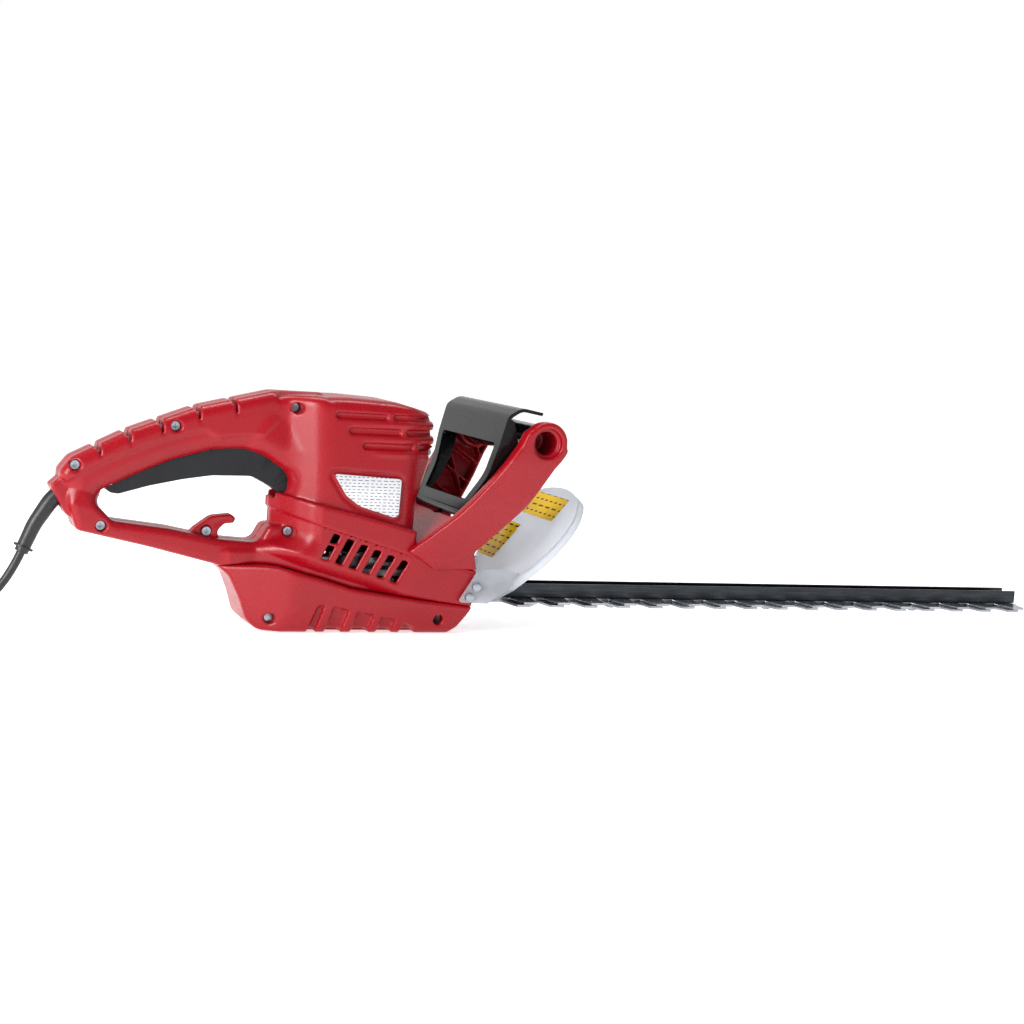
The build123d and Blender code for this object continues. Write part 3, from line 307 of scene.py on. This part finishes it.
class Clay:
    """A block of space to carve a moulded piece in: grid lines along X, Y and Z in millimetres."""

    def __init__(self, xs, ys, zs):
        self.lines = [np.asarray(xs, float), np.asarray(ys, float), np.asarray(zs, float)]
        self.x = self.lines[0][:, None, None]
        self.y = self.lines[1][None, :, None]
        self.z = self.lines[2][None, None, :]
        self.across = np.abs(self.y)

    def side(self, points, radii=0):
        """An outline seen from the side, endless along Y."""
        return flat_distance(rounded(points, radii), self.x, self.z)

    def plan(self, points, radii=0):
        """An outline seen from above, endless along Z."""
        return flat_distance(rounded(points, radii), self.x, self.y)

    def front(self, points, radii=0):
        """An outline seen from the front, endless along X."""
        return flat_distance(rounded(points, radii), self.y, self.z)

    def rod(self, x, z, radius):
        """A rod along Y."""
        return np.hypot(self.x - x, self.z - z) - radius

    def skin(self, name, field, flip=False):
        """The surface where the field is zero, as closed mesh data with smooth faces."""
        field = np.broadcast_to(field, [len(line) for line in self.lines])
        solid = field < 0
        cells = [n - 1 for n in field.shape]
        corners = [(i, j, k) for i in (0, 1) for j in (0, 1) for k in (0, 1)]
        filled = sum(solid[i:i + cells[0], j:j + cells[1], k:k + cells[2]].astype(np.int8)
                     for i, j, k in corners)
        cell = np.argwhere((filled > 0) & (filled < 8))
        number = np.full(cells, -1, np.int64)
        number[tuple(cell.T)] = np.arange(len(cell))
        total, crossings = np.zeros((len(cell), 3)), np.zeros(len(cell))
        for axis in range(3):
            step = np.eye(3, dtype=int)[axis]
            for offset in corners:
                if offset[axis]:
                    continue
                low = cell + np.array(offset)
                high = low + step
                a, b = field[tuple(low.T)], field[tuple(high.T)]
                cut = (a < 0) != (b < 0)
                t = np.where(cut, a / np.where(cut, a - b, 1), 0)
                place = np.stack([self.lines[m][low[:, m]] for m in range(3)], 1)
                reach = self.lines[axis][high[:, axis]] - self.lines[axis][low[:, axis]]
                place[:, axis] += t * reach
                total += place * cut[:, None]
                crossings += cut
        points = total / crossings[:, None]
        faces = []
        for axis in range(3):
            u, v = [(1, 2), (2, 0), (0, 1)][axis]
            inner = [slice(1, n) for n in cells]
            inner[axis] = slice(0, cells[axis])
            ahead = list(inner)
            ahead[axis] = slice(1, cells[axis] + 1)
            a, b = solid[tuple(inner)], solid[tuple(ahead)]
            for leaving in (True, False):
                at = np.argwhere((a & ~b) if leaving else (~a & b))
                at = at + [0 if m == axis else 1 for m in range(3)]
                ring = []
                for du, dv in ((1, 1), (0, 1), (0, 0), (1, 0)):
                    near = at.copy()
                    near[:, u] -= du
                    near[:, v] -= dv
                    ring.append(number[tuple(near.T)])
                quads = np.stack(ring, 1)
                faces.append(quads if leaving else quads[:, ::-1])
        faces = np.concatenate(faces)
        if flip:
            points = points * (1, -1, 1)
            faces = faces[:, ::-1]
        return mesh_of(name, points, faces)


def mesh_of(name, points, faces):
    """Mesh data from points in millimetres and four-sided faces."""
    data = bpy.data.meshes.new(name)
    data.vertices.add(len(points))
    data.vertices.foreach_set("co", (np.asarray(points) * MM).ravel())
    data.loops.add(len(faces) * 4)
    data.loops.foreach_set("vertex_index", np.ascontiguousarray(faces).ravel())
    data.polygons.add(len(faces))
    data.polygons.foreach_set("loop_start", np.arange(len(faces)) * 4)
    data.update(calc_edges=True)
    data.validate()
    data.shade_smooth()
    return data


def fit(data, finish, body, slot, *stands_for):
    """Puts a finished piece in the scene, on its body."""
    piece = bpy.data.objects.new(data.name, data)
    bpy.context.collection.objects.link(piece)
    data.materials.clear()
    data.materials.append(finish)
    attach(piece, body)
    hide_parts(*stands_for)
    return piece


# ---------------------------------------------------------------- housing halves
HANDLE_HALF = 19
WALL = 2.8
LOOP_OUTSIDE = [(-226, 76), (-241, 121), (-232, 133), (-189, 155.5), (-134, 177.3), (-72, 193),
                (-30, 193), (-30, 60), (-109.5, 50), (-169, 64.2)]
LOOP_OUTSIDE_R = [6, 8, 10, 60, 60, 20, 0, 0, 12, 60]
LOOP_INSIDE = [(-212, 98), (-205, 105), (-177.5, 118.8), (-152, 130.2), (-119, 140), (-77, 141.5),
               (-56, 133), (-50, 106.5), (-70.3, 106.5), (-71.5, 86), (-80, 69.5), (-112, 71.5),
               (-152, 79), (-198, 84)]
LOOP_INSIDE_R = [6, 6, 40, 40, 40, 18, 16, 1, 1, 8, 9, 40, 60, 10]
COLLAR = [(-247, 110), (-234, 88), (-222, 80), (-214, 100), (-232, 124)]
DECK = [(-113, 51), (-113, 66), (-84, 67), (-73, 74), (-71.5, 90), (-79, 101), (-78, 108.5), (-66, 111),
        (-4, 98), (45, 86), (45, 67), (100.5, 54), (100, 23.5), (52.5, 28.6), (-5, 36.7), (-33, 44.9),
        (-70, 54)]
DECK_R = [0, 3, 10, 8, 10, 3, 3, 4, 30, 1, 1, 2, 0, 60, 60, 60, 60]
DECK_PLAN = [(-116, -17), (-84, -30), (-48, -47), (60, -47), (100.5, -46.8), (100.5, 46.8), (60, 47),
             (-48, 47), (-84, 30), (-116, 17)]
DECK_PLAN_R = [4, 50, 30, 40, 3, 3, 40, 30, 50, 4]
NECK_PLAN = [(-71, -5), (-64, -17), (-54, -32), (-44, -43), (-30, -50), (110, -50), (110, 50), (-30, 50),
             (-44, 43), (-54, 32), (-64, 17), (-71, 5)]
NECK_PLAN_R = [4, 12, 30, 20, 8, 0, 0, 8, 20, 30, 12, 4]
POD = [(-62, 95), (-55, 125), (-86, 150), (-84, 186), (-60, 190.5), (-16, 193.4), (24, 191), (60, 182),
       (65, 154), (47, 108), (47, 80), (-40, 80)]
POD_R = [4, 10, 8, 4, 6, 80, 40, 14, 20, 20, 2, 2]
POD_PLAN = [(-92, -16), (-62, -20), (-34, -43), (34, -43), (65, -24), (65, 24), (34, 43), (-34, 43),
            (-62, 20), (-92, 16)]
POD_PLAN_R = [3, 12, 24, 22, 16, 16, 22, 24, 12, 3]
POD_FRONT = [(-44, 60), (-43, 120), (-39, 196), (39, 196), (43, 120), (44, 60)]
POD_FRONT_R = [0, 60, 16, 16, 60, 0]
HOOK = [(-138, 68), (-131, 78.5), (-117, 89), (-101, 91), (-97, 88), (-98, 83.8), (-106, 83),
        (-111.6, 77), (-109, 68)]
HOOK_R = [0, 6, 10, 3, 2, 2, 5, 5, 0]
CORD_BORE = [(-226, 118), (-246, 98), (-262, 60), (-252, 56), (-238, 90), (-218, 108)]
TRIGGER_SLOT = [(-208, 103), (-208, 121), (-178, 133), (-150, 146), (-100, 154), (-52, 156), (-45.5, 142),
                (-45.5, 106.5), (-71, 106.5), (-88, 112)]
# Housing screws: x, z and depth of the seat below the middle plane.
SCREWS = [(-229, 127, 10.5), (-152, 161, 10.5), (-207, 80, 11), (-120.5, 76.5, 3), (-56, 180.5, 11),
          (-57, 80, 17), (60, 149, 12)]
# The grip's top panel, which stands a little proud, and the notches across it.
PANEL = [(-236, 113), (-225.9, 120.6), (-203.1, 132.6), (-172.5, 146), (-149.2, 153.8), (-133.4, 158.1),
         (-128.9, 158.6), (-117.8, 153.2), (-100.8, 155.5), (-81.3, 156.8), (-70.4, 168.2),
         (-67.5, 176.1), (-71.9, 196), (-90, 215), (-260, 215), (-260, 120)]
NOTCHES = [((-210.2, 134.1), (-216.5, 148), (-209.8, 148)), ((-187.4, 143.9), (-193.6, 161), (-187, 161)),
           ((-162.2, 153.6), (-168.4, 171), (-162, 171)), ((-132.9, 163.6), (-139, 182.5), (-133, 182.5)),
           ((-103.6, 171.6), (-110, 191), (-104.6, 191))]
VENT_BAND = [(-95, 103), (-78.3, 100.4), (-20, 83.4), (40, 65.8), (104, 49.5), (104, 20), (-130, 20),
             (-130, 103)]
UNDERCUT = [(-130, 86), (-89.5, 75.3), (-61.6, 67.2), (-33.7, 58.4), (9.2, 46.8), (38.6, 34.9),
            (104, 22.5), (104, 0), (-130, 0)]
PLATE = [(-28, 130.5), (29.5, 128), (28.5, 97.5), (24, 96.8), (-5, 105), (-17, 113.5)]
PLATE_R = [1.5, 2.5, 3, 3, 20, 12]
LOWER_BAR = [(-260, 20), (-260, 108), (-205, 98), (-150, 104), (-40, 100), (-40, 20)]
PANEL_STEP, NOTCH_DEEP = 1.7, 5.5
NECK_LOW_Z, NECK_RISE, NECK_WALL_X = 62, 20, -48
LOUVRE_ROWS, LOUVRE_PITCH, LOUVRE_HIGH, LOUVRE_DEEP = 3, 12, 5, 3.2
FIN_TOP_Z = 171.5
VENT_COUNT = 6
SCREW_BOSS_R, SCREW_SEAT_R = 6.2, 4.3
HOOK_HALF = 6
CAP = [(-44, 205), (-40, 192.5), (-28, 184.5), (24, 182), (80, 180), (80, 205)]


def seam_lines(step):
    """Grid lines across one half: fine at the parting line, then even."""
    return [-0.9, -0.3, 0.0, 0.35, 0.9] + list(np.arange(0.9 + step, 51, step))


def loop_handle(clay):
    """The loop handle: rounded bars, a grip panel that stands proud of them and notches across its top."""
    panel = clay.side(PANEL, 1.0)
    low = within(clay.side(LOWER_BAR), 6)
    proud = within(panel, 0.9)
    edge = (16 - 7.5 * within(panel, 4)) * (1 - low) + 5.5 * low
    flanks = clay.across - HANDLE_HALF + PANEL_STEP * (1 - proud) * (1 - low)
    outline, opening = clay.side(LOOP_OUTSIDE, LOOP_OUTSIDE_R), clay.side(LOOP_INSIDE, LOOP_INSIDE_R)
    handle = meet(edge, outline, -opening, flanks)
    neck_gap = meet(0, np.abs(clay.x + 57) - 28, np.abs(clay.z - 98) - 14)
    handle = meet(3, handle, -neck_gap)
    notches = reduce(np.minimum, [clay.side(points) for points in NOTCHES])
    return meet(0.5, handle, -meet(0.2, notches, -handle - NOTCH_DEEP))


def motor_pod(clay):
    """The motor housing's plain outer shape."""
    return meet(7, clay.side(POD, POD_R), clay.front(POD_FRONT, POD_FRONT_R),
                clay.plan(POD_PLAN, POD_PLAN_R))


def detailed_pod(clay, pod):
    """The motor housing with a groove round its nameplate, a set-back cap and fins between the louvres."""
    plate = clay.side(PLATE, PLATE_R)
    pod = pod + 1.3 * within(meet(0.3, plate - 3.8, 0.3 - plate), 0.35)
    pod = pod + 0.9 * within(clay.side(CAP, 1.0), 0.4)
    fins = [within(meet(2, np.abs(clay.z - FIN_TOP_Z + LOUVRE_PITCH * row) - 1.6,
                        -18 + LOUVRE_PITCH * row - clay.x), 0.8) for row in range(LOUVRE_ROWS)]
    return pod - 1.1 * reduce(np.maximum, fins) * within(10 - clay.x, 14)


def vent_band(clay):
    """The vent band's outer shape, and the hollow inside it."""
    set_back = 2.0 * within(clay.side(VENT_BAND, 1.0), 0.5)
    set_back = set_back + np.clip(-0.75 * clay.side(UNDERCUT, 3.0), 0, 6.5)
    set_back = set_back * np.clip((clay.x + 104) / 20, 0, 1)
    side, wide = clay.side(DECK, DECK_R), clay.plan(DECK_PLAN, DECK_PLAN_R)
    rise = np.clip((clay.z - NECK_LOW_Z) / NECK_RISE, 0, 1)
    narrow = rise * rise * (3 - 2 * rise)
    plan = wide + narrow * np.maximum(clay.plan(NECK_PLAN, NECK_PLAN_R) - wide, 0) + set_back
    return meet(2.0, side, plan), meet(0, side + WALL, plan + WALL, NECK_WALL_X - clay.x)


def louvres(clay, pod):
    """Three rows of air slots round the front of the motor housing, with a floor under them."""
    slots = []
    for row in range(LOUVRE_ROWS):
        start, z = -28 + LOUVRE_PITCH * row, 177.5 - LOUVRE_PITCH * row
        band = np.abs(clay.z - z) - LOUVRE_HIGH / 2
        slots += [meet(2, band, np.abs(clay.x - start - 22) - 22),
                  meet(1, band, start + 49 - clay.x, 15 - clay.across),
                  meet(1, band, 45 - clay.x, clay.across - 12, 3 - clay.across)]
    return np.maximum(reduce(np.minimum, slots), -pod - LOUVRE_DEEP)


def vents(clay):
    """Six slanted air slots in each side of the vent band, the first with a rib across it."""
    slots = []
    for k in range(VENT_COUNT):
        low_x, low_z = -34.5 + 11.8 * k, 62 - 3.5 * k
        top_x, top_z = -25 + 11.9 * k, 82 - 4.1 * k
        slots.append(clay.side([(low_x, low_z), (top_x, top_z), (-19.5 + 11.9 * k, 80.5 - 4.1 * k),
                                (-29 + 11.8 * k, 60.5 - 3.5 * k)]))
    rib = clay.side([(-40, 74.5), (-15, 70), (-15, 72.5), (-40, 77)])
    slots = np.maximum(reduce(np.minimum, slots), -np.where(clay.x < -18, rib, 9))
    return np.maximum(slots, 25 - clay.across)


def housing_half(right):
    """One half of the housing: half of the loop handle, of the motor housing and of the vent band."""
    step = 1.3
    clay = Clay(np.arange(-251, 104.5, step), seam_lines(step), np.arange(19, 197, step))
    handle, plain_pod = loop_handle(clay), motor_pod(clay)
    pod = detailed_pod(clay, plain_pod)
    deck, deck_room = vent_band(clay)
    collar = meet(2, clay.side(COLLAR, [2, 2, 2, 0, 0]), clay.across - 12)
    hook_side = clay.side(HOOK, HOOK_R)
    hook = meet(1.2, hook_side, clay.across - HOOK_HALF + within(hook_side + 3))
    body = join(1 + 13 * within(clay.z - 160, 14), handle, pod)
    body = join(1.2, body, deck)
    body = join(1.5, body, collar, hook)
    # The motor housing's wall is thicker above the nameplate, where the louvres' floors are.
    pod_room = plain_pod + WALL + 1 + 4 * within(150 - clay.z, 2)
    body = meet(0.4, body, -np.minimum(pod_room, deck_room))
    body = meet(0.6, body, -louvres(clay, pod), -vents(clay))
    bosses = reduce(np.minimum, [clay.rod(x, z, SCREW_BOSS_R) for x, z, _ in SCREWS])
    outside = np.minimum(np.minimum(handle, pod), deck)
    body = np.minimum(body, meet(0.2, bosses, outside))
    body = meet(0.4, body, -meet(0, clay.side(TRIGGER_SLOT), clay.across - 11.1))
    if right:
        for x, z, seat in SCREWS:
            body = meet(0.6, body, -np.maximum(clay.rod(x, z, SCREW_SEAT_R), seat - clay.across))
    gear_room = meet(0, np.abs(clay.x - 14) - 76, clay.across - 33, np.abs(clay.z - 35) - 15)
    blade_mouth = meet(0, np.abs(clay.x - 97) - 12, clay.across - 15, np.abs(clay.z - 28) - 13)
    body = meet(0, body, -gear_room)
    body = meet(0, body, -blade_mouth)
    body = meet(0.5, body, -meet(0, clay.side(CORD_BORE), clay.across - 7.6))
    seam_lip = 0.35 * within(clay.across - 0.35, 0.15)
    body = np.maximum(body + seam_lip, -clay.y)
    return clay.skin("right_housing_shell" if right else "left_housing_shell", body, flip=right)


fit(housing_half(True), RED_ABS, "housing", "red_plastic", "right_housing")
fit(housing_half(False), RED_ABS, "housing", "red_plastic", "left_housing")


# ---------------------------------------------------------------- base tray
BASE = [(-113, 50.7), (-103, 42), (-95, 25), (-89, 8), (-80, 0), (80, 0), (88, 6.5), (100, 23.5),
        (52.5, 28.6), (-5, 36.7), (-33, 44.9), (-70, 54)]
BASE_R = [1, 12, 30, 12, 14, 2, 8, 0.5, 60, 60, 60, 60]
BASE_PLAN = [(-114, -14), (-88, -28), (-54, -46), (60, -46), (100, -45.5), (100, 45.5), (60, 46),
             (-54, 46), (-88, 28), (-114, 14)]
BASE_PLAN_R = [4, 50, 30, 40, 4, 4, 40, 30, 50, 4]
BASE_FRONT = [(-38, 0), (-41, 4), (-45, 22), (-48, 60), (48, 60), (45, 22), (41, 4), (38, 0)]
BASE_FRONT_R = [0, 3, 20, 0, 0, 20, 3, 0]
GRIP_PANEL = [(-41.5, -2), (-40, 6), (-35, 22.4), (-29.6, 23.7), (35.3, 11.5), (49.7, 4.9), (50, -2)]
# Ribs of the grip: the rear and front edge of each at its foot.
GRIP_RIBS = [(-36, -27), (-14, -5), (9, 17), (29, 37)]
GRIP_DEEP, FOOT_HIGH = 3.6, 3.2
BASE_SCREWS = [(-72, 11), (70, 12)]
BASE_SCREW_SEAT_R, BASE_SCREW_SEAT_Y = 4.2, 29


def base_tray_data():
    """The tray under the vent band, with a ribbed hand grip moulded into each side."""
    step = 1.25
    clay = Clay(np.arange(-116, 103, step), np.arange(-48.75, 49, step), np.arange(-1.9, 57, step))
    tray = meet(3.0, clay.side(BASE, BASE_R), clay.plan(BASE_PLAN, BASE_PLAN_R))
    tray = meet(2.0, tray, clay.front(BASE_FRONT, BASE_FRONT_R))
    panel = clay.side(GRIP_PANEL, [1, 1, 4, 4, 6, 2, 1])
    ribs = reduce(np.minimum, [clay.side([(rear, -3), (rear + 7, 24), (front + 6, 24), (front, -3)])
                               for rear, front in GRIP_RIBS])
    sunk = meet(0.5, panel, -ribs)
    tray = tray + GRIP_DEEP * within(sunk, 0.6) * within(30 - clay.across, 2)
    feet = meet(0.5, sunk + 1.5, clay.z - FOOT_HIGH, 28 - clay.across)
    tray = meet(0.5, tray, -feet)
    for x, z in BASE_SCREWS:
        seat = np.maximum(clay.rod(x, z, BASE_SCREW_SEAT_R), BASE_SCREW_SEAT_Y - clay.across)
        tray = meet(0.6, tray, -seat)
    room = meet(2, np.abs(clay.x - 14) - 76, clay.across - 33.5, np.abs(clay.z - 34) - 26)
    mouth = meet(1, np.abs(clay.x - 97) - 12, clay.across - 15, np.abs(clay.z - 29) - 12)
    tray = meet(0.3, tray, -room, -mouth)
    return clay.skin("base_tray_shell", tray)


fit(base_tray_data(), RED_ABS, "housing", "red_plastic", "base_tray")

# ---------------------------------------------------------------- front bail handle
ARM_THICK = 14
ARM = [(36, 69), (52, 83), (72, 103), (98, 137), (121.5, 173), (154.5, 159.5), (130, 113.5), (98, 73.5),
       (80, 60), (58, 60)]
ARM_R = [2, 60, 90, 120, 0, 0, 120, 60, 14, 20]
ARM_BAND = [(50.2, 50), (50.8, 64), (60, 84), (76, 112), (87, 150), (89, 190)]
ARM_BAND_R = [0, 20, 60, 80, 60, 0]
SADDLE = [(41, 69), (77, 98.5), (84, 96), (96, 66), (99, 55), (60, 55)]
SADDLE_R = [1, 2, 4, 8, 1, 1]
SADDLE_FRONT = [(-49, 50), (-50, 64), (-59, 84), (-75, 112), (75, 112), (59, 84), (50, 64), (49, 50)]
SADDLE_FRONT_R = [0, 10, 60, 0, 0, 60, 10, 0]
BAR_X, BAR_Z, BOSS_R = 137.7, 165.7, 17.5
BAR_BORE_R, STUB_R, STUB_BORE_R, HOLE_R = 14.02, 11.4, 9.6, 12.3
LEVER_PIN_X, LEVER_PIN_Z, LEVER_PIN_BORE_R = 81, 103, 4.9


def bail_handle_data():
    """The red bail: two arms from the saddle up to the crossbar's bosses, ribbed on their inner faces."""
    step = 1.25
    ys = list(np.arange(0, 92, step))
    clay = Clay(np.arange(33, 159, step), sorted([-y for y in ys[1:]] + ys), np.arange(52, 187, step))
    arm_side = join(6, clay.side(ARM, ARM_R), clay.rod(BAR_X, BAR_Z, BOSS_R))
    inside = [(y - ARM_THICK, z) for y, z in reversed(ARM_BAND)]
    band = flat_distance(rounded(ARM_BAND + inside, ARM_BAND_R + ARM_BAND_R), clay.across, clay.z)
    arms = meet(2.2, arm_side, band)
    hollow = [(y - 3, z) for y, z in ARM_BAND] + [(y - ARM_THICK - 8, z) for y, z in reversed(ARM_BAND)]
    pocket = meet(0, flat_distance(rounded(hollow, 0), clay.across, clay.z), arm_side + 3.2,
                  -clay.rod(BAR_X, BAR_Z, 18), 104 - clay.z)
    along = clay.x * 0.58 + clay.z * 0.81
    rib_lines = np.minimum(np.abs((along - 8) % 19 - 9.5) - 0.9,
                           np.abs((clay.x * 0.97 + clay.z * 0.23) % 26 - 13) - 0.8)
    arms = meet(0.3, arms, -np.maximum(pocket, -rib_lines))
    saddle = meet(2.5, clay.side(SADDLE, SADDLE_R), clay.front(SADDLE_FRONT, SADDLE_FRONT_R))
    bail = join(3, arms, saddle)
    bail = meet(0.5, bail, -meet(0, clay.side(SADDLE, SADDLE_R) + 3, clay.across - 33))
    pod = meet(0, clay.side(POD, POD_R), clay.front(POD_FRONT, POD_FRONT_R),
               clay.plan(POD_PLAN, POD_PLAN_R))
    deck = meet(0, clay.side(DECK, DECK_R), clay.plan(DECK_PLAN, DECK_PLAN_R))
    bail = meet(0.3, bail, -pod, -deck)
    # The crossbar's seat, a hollow stub inside it, and the round hole in the arm's outer face.
    bail = meet(0, bail, -np.maximum(clay.rod(BAR_X, BAR_Z, BAR_BORE_R), clay.across - 80))
    bail = np.minimum(bail, meet(0, clay.rod(BAR_X, BAR_Z, STUB_R), np.abs(clay.across - 67) - 15))
    bail = meet(0.8, bail, -np.maximum(clay.rod(BAR_X, BAR_Z, HOLE_R), 83 - clay.across))
    bail = meet(0.3, bail, -np.maximum(clay.rod(BAR_X, BAR_Z, STUB_BORE_R), 54 - clay.across))
    # Room for the lever's pin and for its switch.
    pin_bore = np.maximum(clay.rod(LEVER_PIN_X, LEVER_PIN_Z, LEVER_PIN_BORE_R), clay.across - 54.5)
    bail = meet(0, bail, -pin_bore)
    switch_room = meet(0, np.abs(clay.x - 82) - 6, clay.across - 5, np.abs(clay.z - 94) - 10)
    bail = meet(0, bail, -switch_room)
    return clay.skin("bail_handle_shell", bail)


fit(bail_handle_data(), RED_ABS, "housing", "red_plastic", "bail_handle")


# ---------------------------------------------------------------- pieces with the CAD's own shape
def dressed(node, finish, slot, bevel_mm=0.0, crease=32):
    """A merged copy of a CAD node with its edges broken and its round faces smooth."""
    data = NODES[node].data.copy()
    data.name = node + "_finished"
    piece = fit(data, finish, body_of(NODES[node])[0], slot, node)
    weld = piece.modifiers.new("weld", "WELD")
    weld.merge_threshold = 0.005 * MM
    graph = bpy.context.evaluated_depsgraph_get()
    merged = bpy.data.meshes.new_from_object(piece.evaluated_get(graph))
    merged.name = node + "_finished"
    piece.data = merged
    piece.modifiers.clear()
    bpy.data.meshes.remove(data)
    merged.shade_smooth()
    merged.set_sharp_from_angle(angle=radians(crease))
    if bevel_mm:
        bevel = piece.modifiers.new("broken edges", "BEVEL")
        bevel.width = bevel_mm * MM
        bevel.segments = 2
        bevel.limit_method = "ANGLE"
        bevel.angle_limit = radians(crease)
        bevel.use_clamp_overlap = True
        bevel.harden_normals = True
    return piece


DRESS = {
    ("rubber", 0.4): (CORD_PVC, ["strain_relief", "plug_body"]),
    ("bronze", 0.2): (BRONZE, ["plug_pins", "lower_bush", "upper_bush"]),
    ("black_gloss_plastic", 0.3): (GLOSS_BLACK, ["crossbar"]),
    ("black_plastic", 0.5): (BLACK_ABS, ["front_lever", "cooling_fan"]),
    ("switch_plastic", 0.3): (SWITCH_PLASTIC, ["front_switch", "front_switch_plunger", "rear_switch",
                                               "rear_switch_plunger", "brush_holders", "bearing_bridge"]),
    ("zinc_steel", 0.25): (BRIGHT_ZINC, ["housing_screws", "base_screw", "guard_screws", "blade_bolts",
                                         "blade_nuts", "rail_screws"]),
    ("blade_steel", 0.25): (GROUND_STEEL, ["upper_blade", "lower_blade"]),
    ("black_rail", 0.35): (BLACK_STEEL, ["blade_rail"]),
    ("steel", 0.2): (GROUND_STEEL, ["front_lever_pin", "rear_lever_pin", "rail_block", "motor_shaft",
                                    "gear_shaft", "drive_gear", "eccentric_cam", "lower_bearing",
                                    "upper_bearing"]),
    ("cast_aluminium", 0.5): (CAST_ALLOY, ["gear_plate"]),
    ("core_steel", 0.3): (CORE_STEEL, ["armature_core", "stator_core"]),
    ("copper", 0.8): (COPPER, ["armature_windings", "field_coils", "commutator"]),
    ("carbon", 0.2): (CARBON, ["carbon_brushes"]),
    ("guard_plastic", 0.4): (GUARD_CLEAR, ["hand_guard"]),
    ("yellow_label", 0.0): (YELLOW_LABEL, ["upper_warning_label", "lower_warning_label"]),
    ("white_label", 0.0): (WHITE_LABEL, ["nameplate"]),
}
for (slot_name, width), (finish, names) in DRESS.items():
    for name in names:
        dressed(name, finish, slot_name, width)
dressed("rear_lever", TRIGGER_RUBBER, "black_plastic", 1.4)


# ---------------------------------------------------------------- floor and light
FLOOR_HALF, FLOOR_Z = 20000, -0.4


def pale_floor():
    """A wide pale floor under the base's rest face."""
    paper = {"Roughness": 0.9, "Specular IOR Level": 0.1, "Emission Color": (1, 1, 1, 1),
             "Emission Strength": 0.62}
    material, tree, place, shader = finish_of("matt_white_paper", paper)
    fleck = add(tree, "ShaderNodeTexNoise", sockets={"Vector": place, "Scale": 1 / (400 * MM)})
    shade = add(tree, "ShaderNodeMix", {"data_type": "RGBA"},
                {0: fleck.outputs[0], 6: linear("#F6F6F6"), 7: linear("#F3F3F4")})
    tree.links.new(shade.outputs[2], shader.inputs["Base Color"])
    data = mesh_of("floor", [(-FLOOR_HALF, -FLOOR_HALF, FLOOR_Z), (FLOOR_HALF, -FLOOR_HALF, FLOOR_Z),
                             (FLOOR_HALF, FLOOR_HALF, FLOOR_Z), (-FLOOR_HALF, FLOOR_HALF, FLOOR_Z)],
                   np.array([[0, 1, 2, 3]]))
    data.materials.append(material)
    floor = bpy.data.objects.new("floor", data)
    bpy.context.collection.objects.link(floor)


def soft_light(name, place, aim, size, power):
    """A large soft box that faces a point."""
    data = bpy.data.lights.new(name, "AREA")
    data.shape = "RECTANGLE"
    data.size, data.size_y = size
    data.energy = power
    lamp = bpy.data.objects.new(name, data)
    lamp.location = place
    lamp.rotation_euler = (Vector(aim) - Vector(place)).to_track_quat("-Z", "Y").to_euler()
    bpy.context.collection.objects.link(lamp)


def studio():
    """A white surround, dimmer overhead and on the right, with soft boxes at the rear right and above."""
    world = bpy.data.worlds.new("studio")
    world.use_nodes = True
    tree = world.node_tree
    way = add(tree, "ShaderNodeTexCoord").outputs["Generated"]
    axes = add(tree, "ShaderNodeSeparateXYZ", sockets={0: way})
    glow = add(tree, "ShaderNodeMapRange", {"interpolation_type": "SMOOTHSTEP"},
               {"Value": axes.outputs[2], 1: 0.2, 2: 0.75, 3: 1.0, 4: 0.35})
    shade = add(tree, "ShaderNodeMapRange", {"interpolation_type": "SMOOTHSTEP"},
                {"Value": axes.outputs[1], 1: -0.9, 2: 0.1, 3: 0.45, 4: 1.0})
    both = add(tree, "ShaderNodeMath", {"operation": "MULTIPLY"}, {0: glow.outputs[0], 1: shade.outputs[0]})
    tree.links.new(both.outputs[0], tree.nodes["Background"].inputs[1])
    tree.nodes["Background"].inputs[0].default_value = (1, 1, 1, 1)
    bpy.context.scene.world = world
    bpy.context.scene.view_settings.view_transform = "Standard"
    soft_light("rear_right", (-1.7, -1.0, 0.7), (-0.1, 0, 0.1), (0.9, 1.2), 44)
    soft_light("overhead", (0.2, 0.3, 1.8), (0.1, 0, 0), (1.6, 0.5), 22)


pale_floor()
studio()
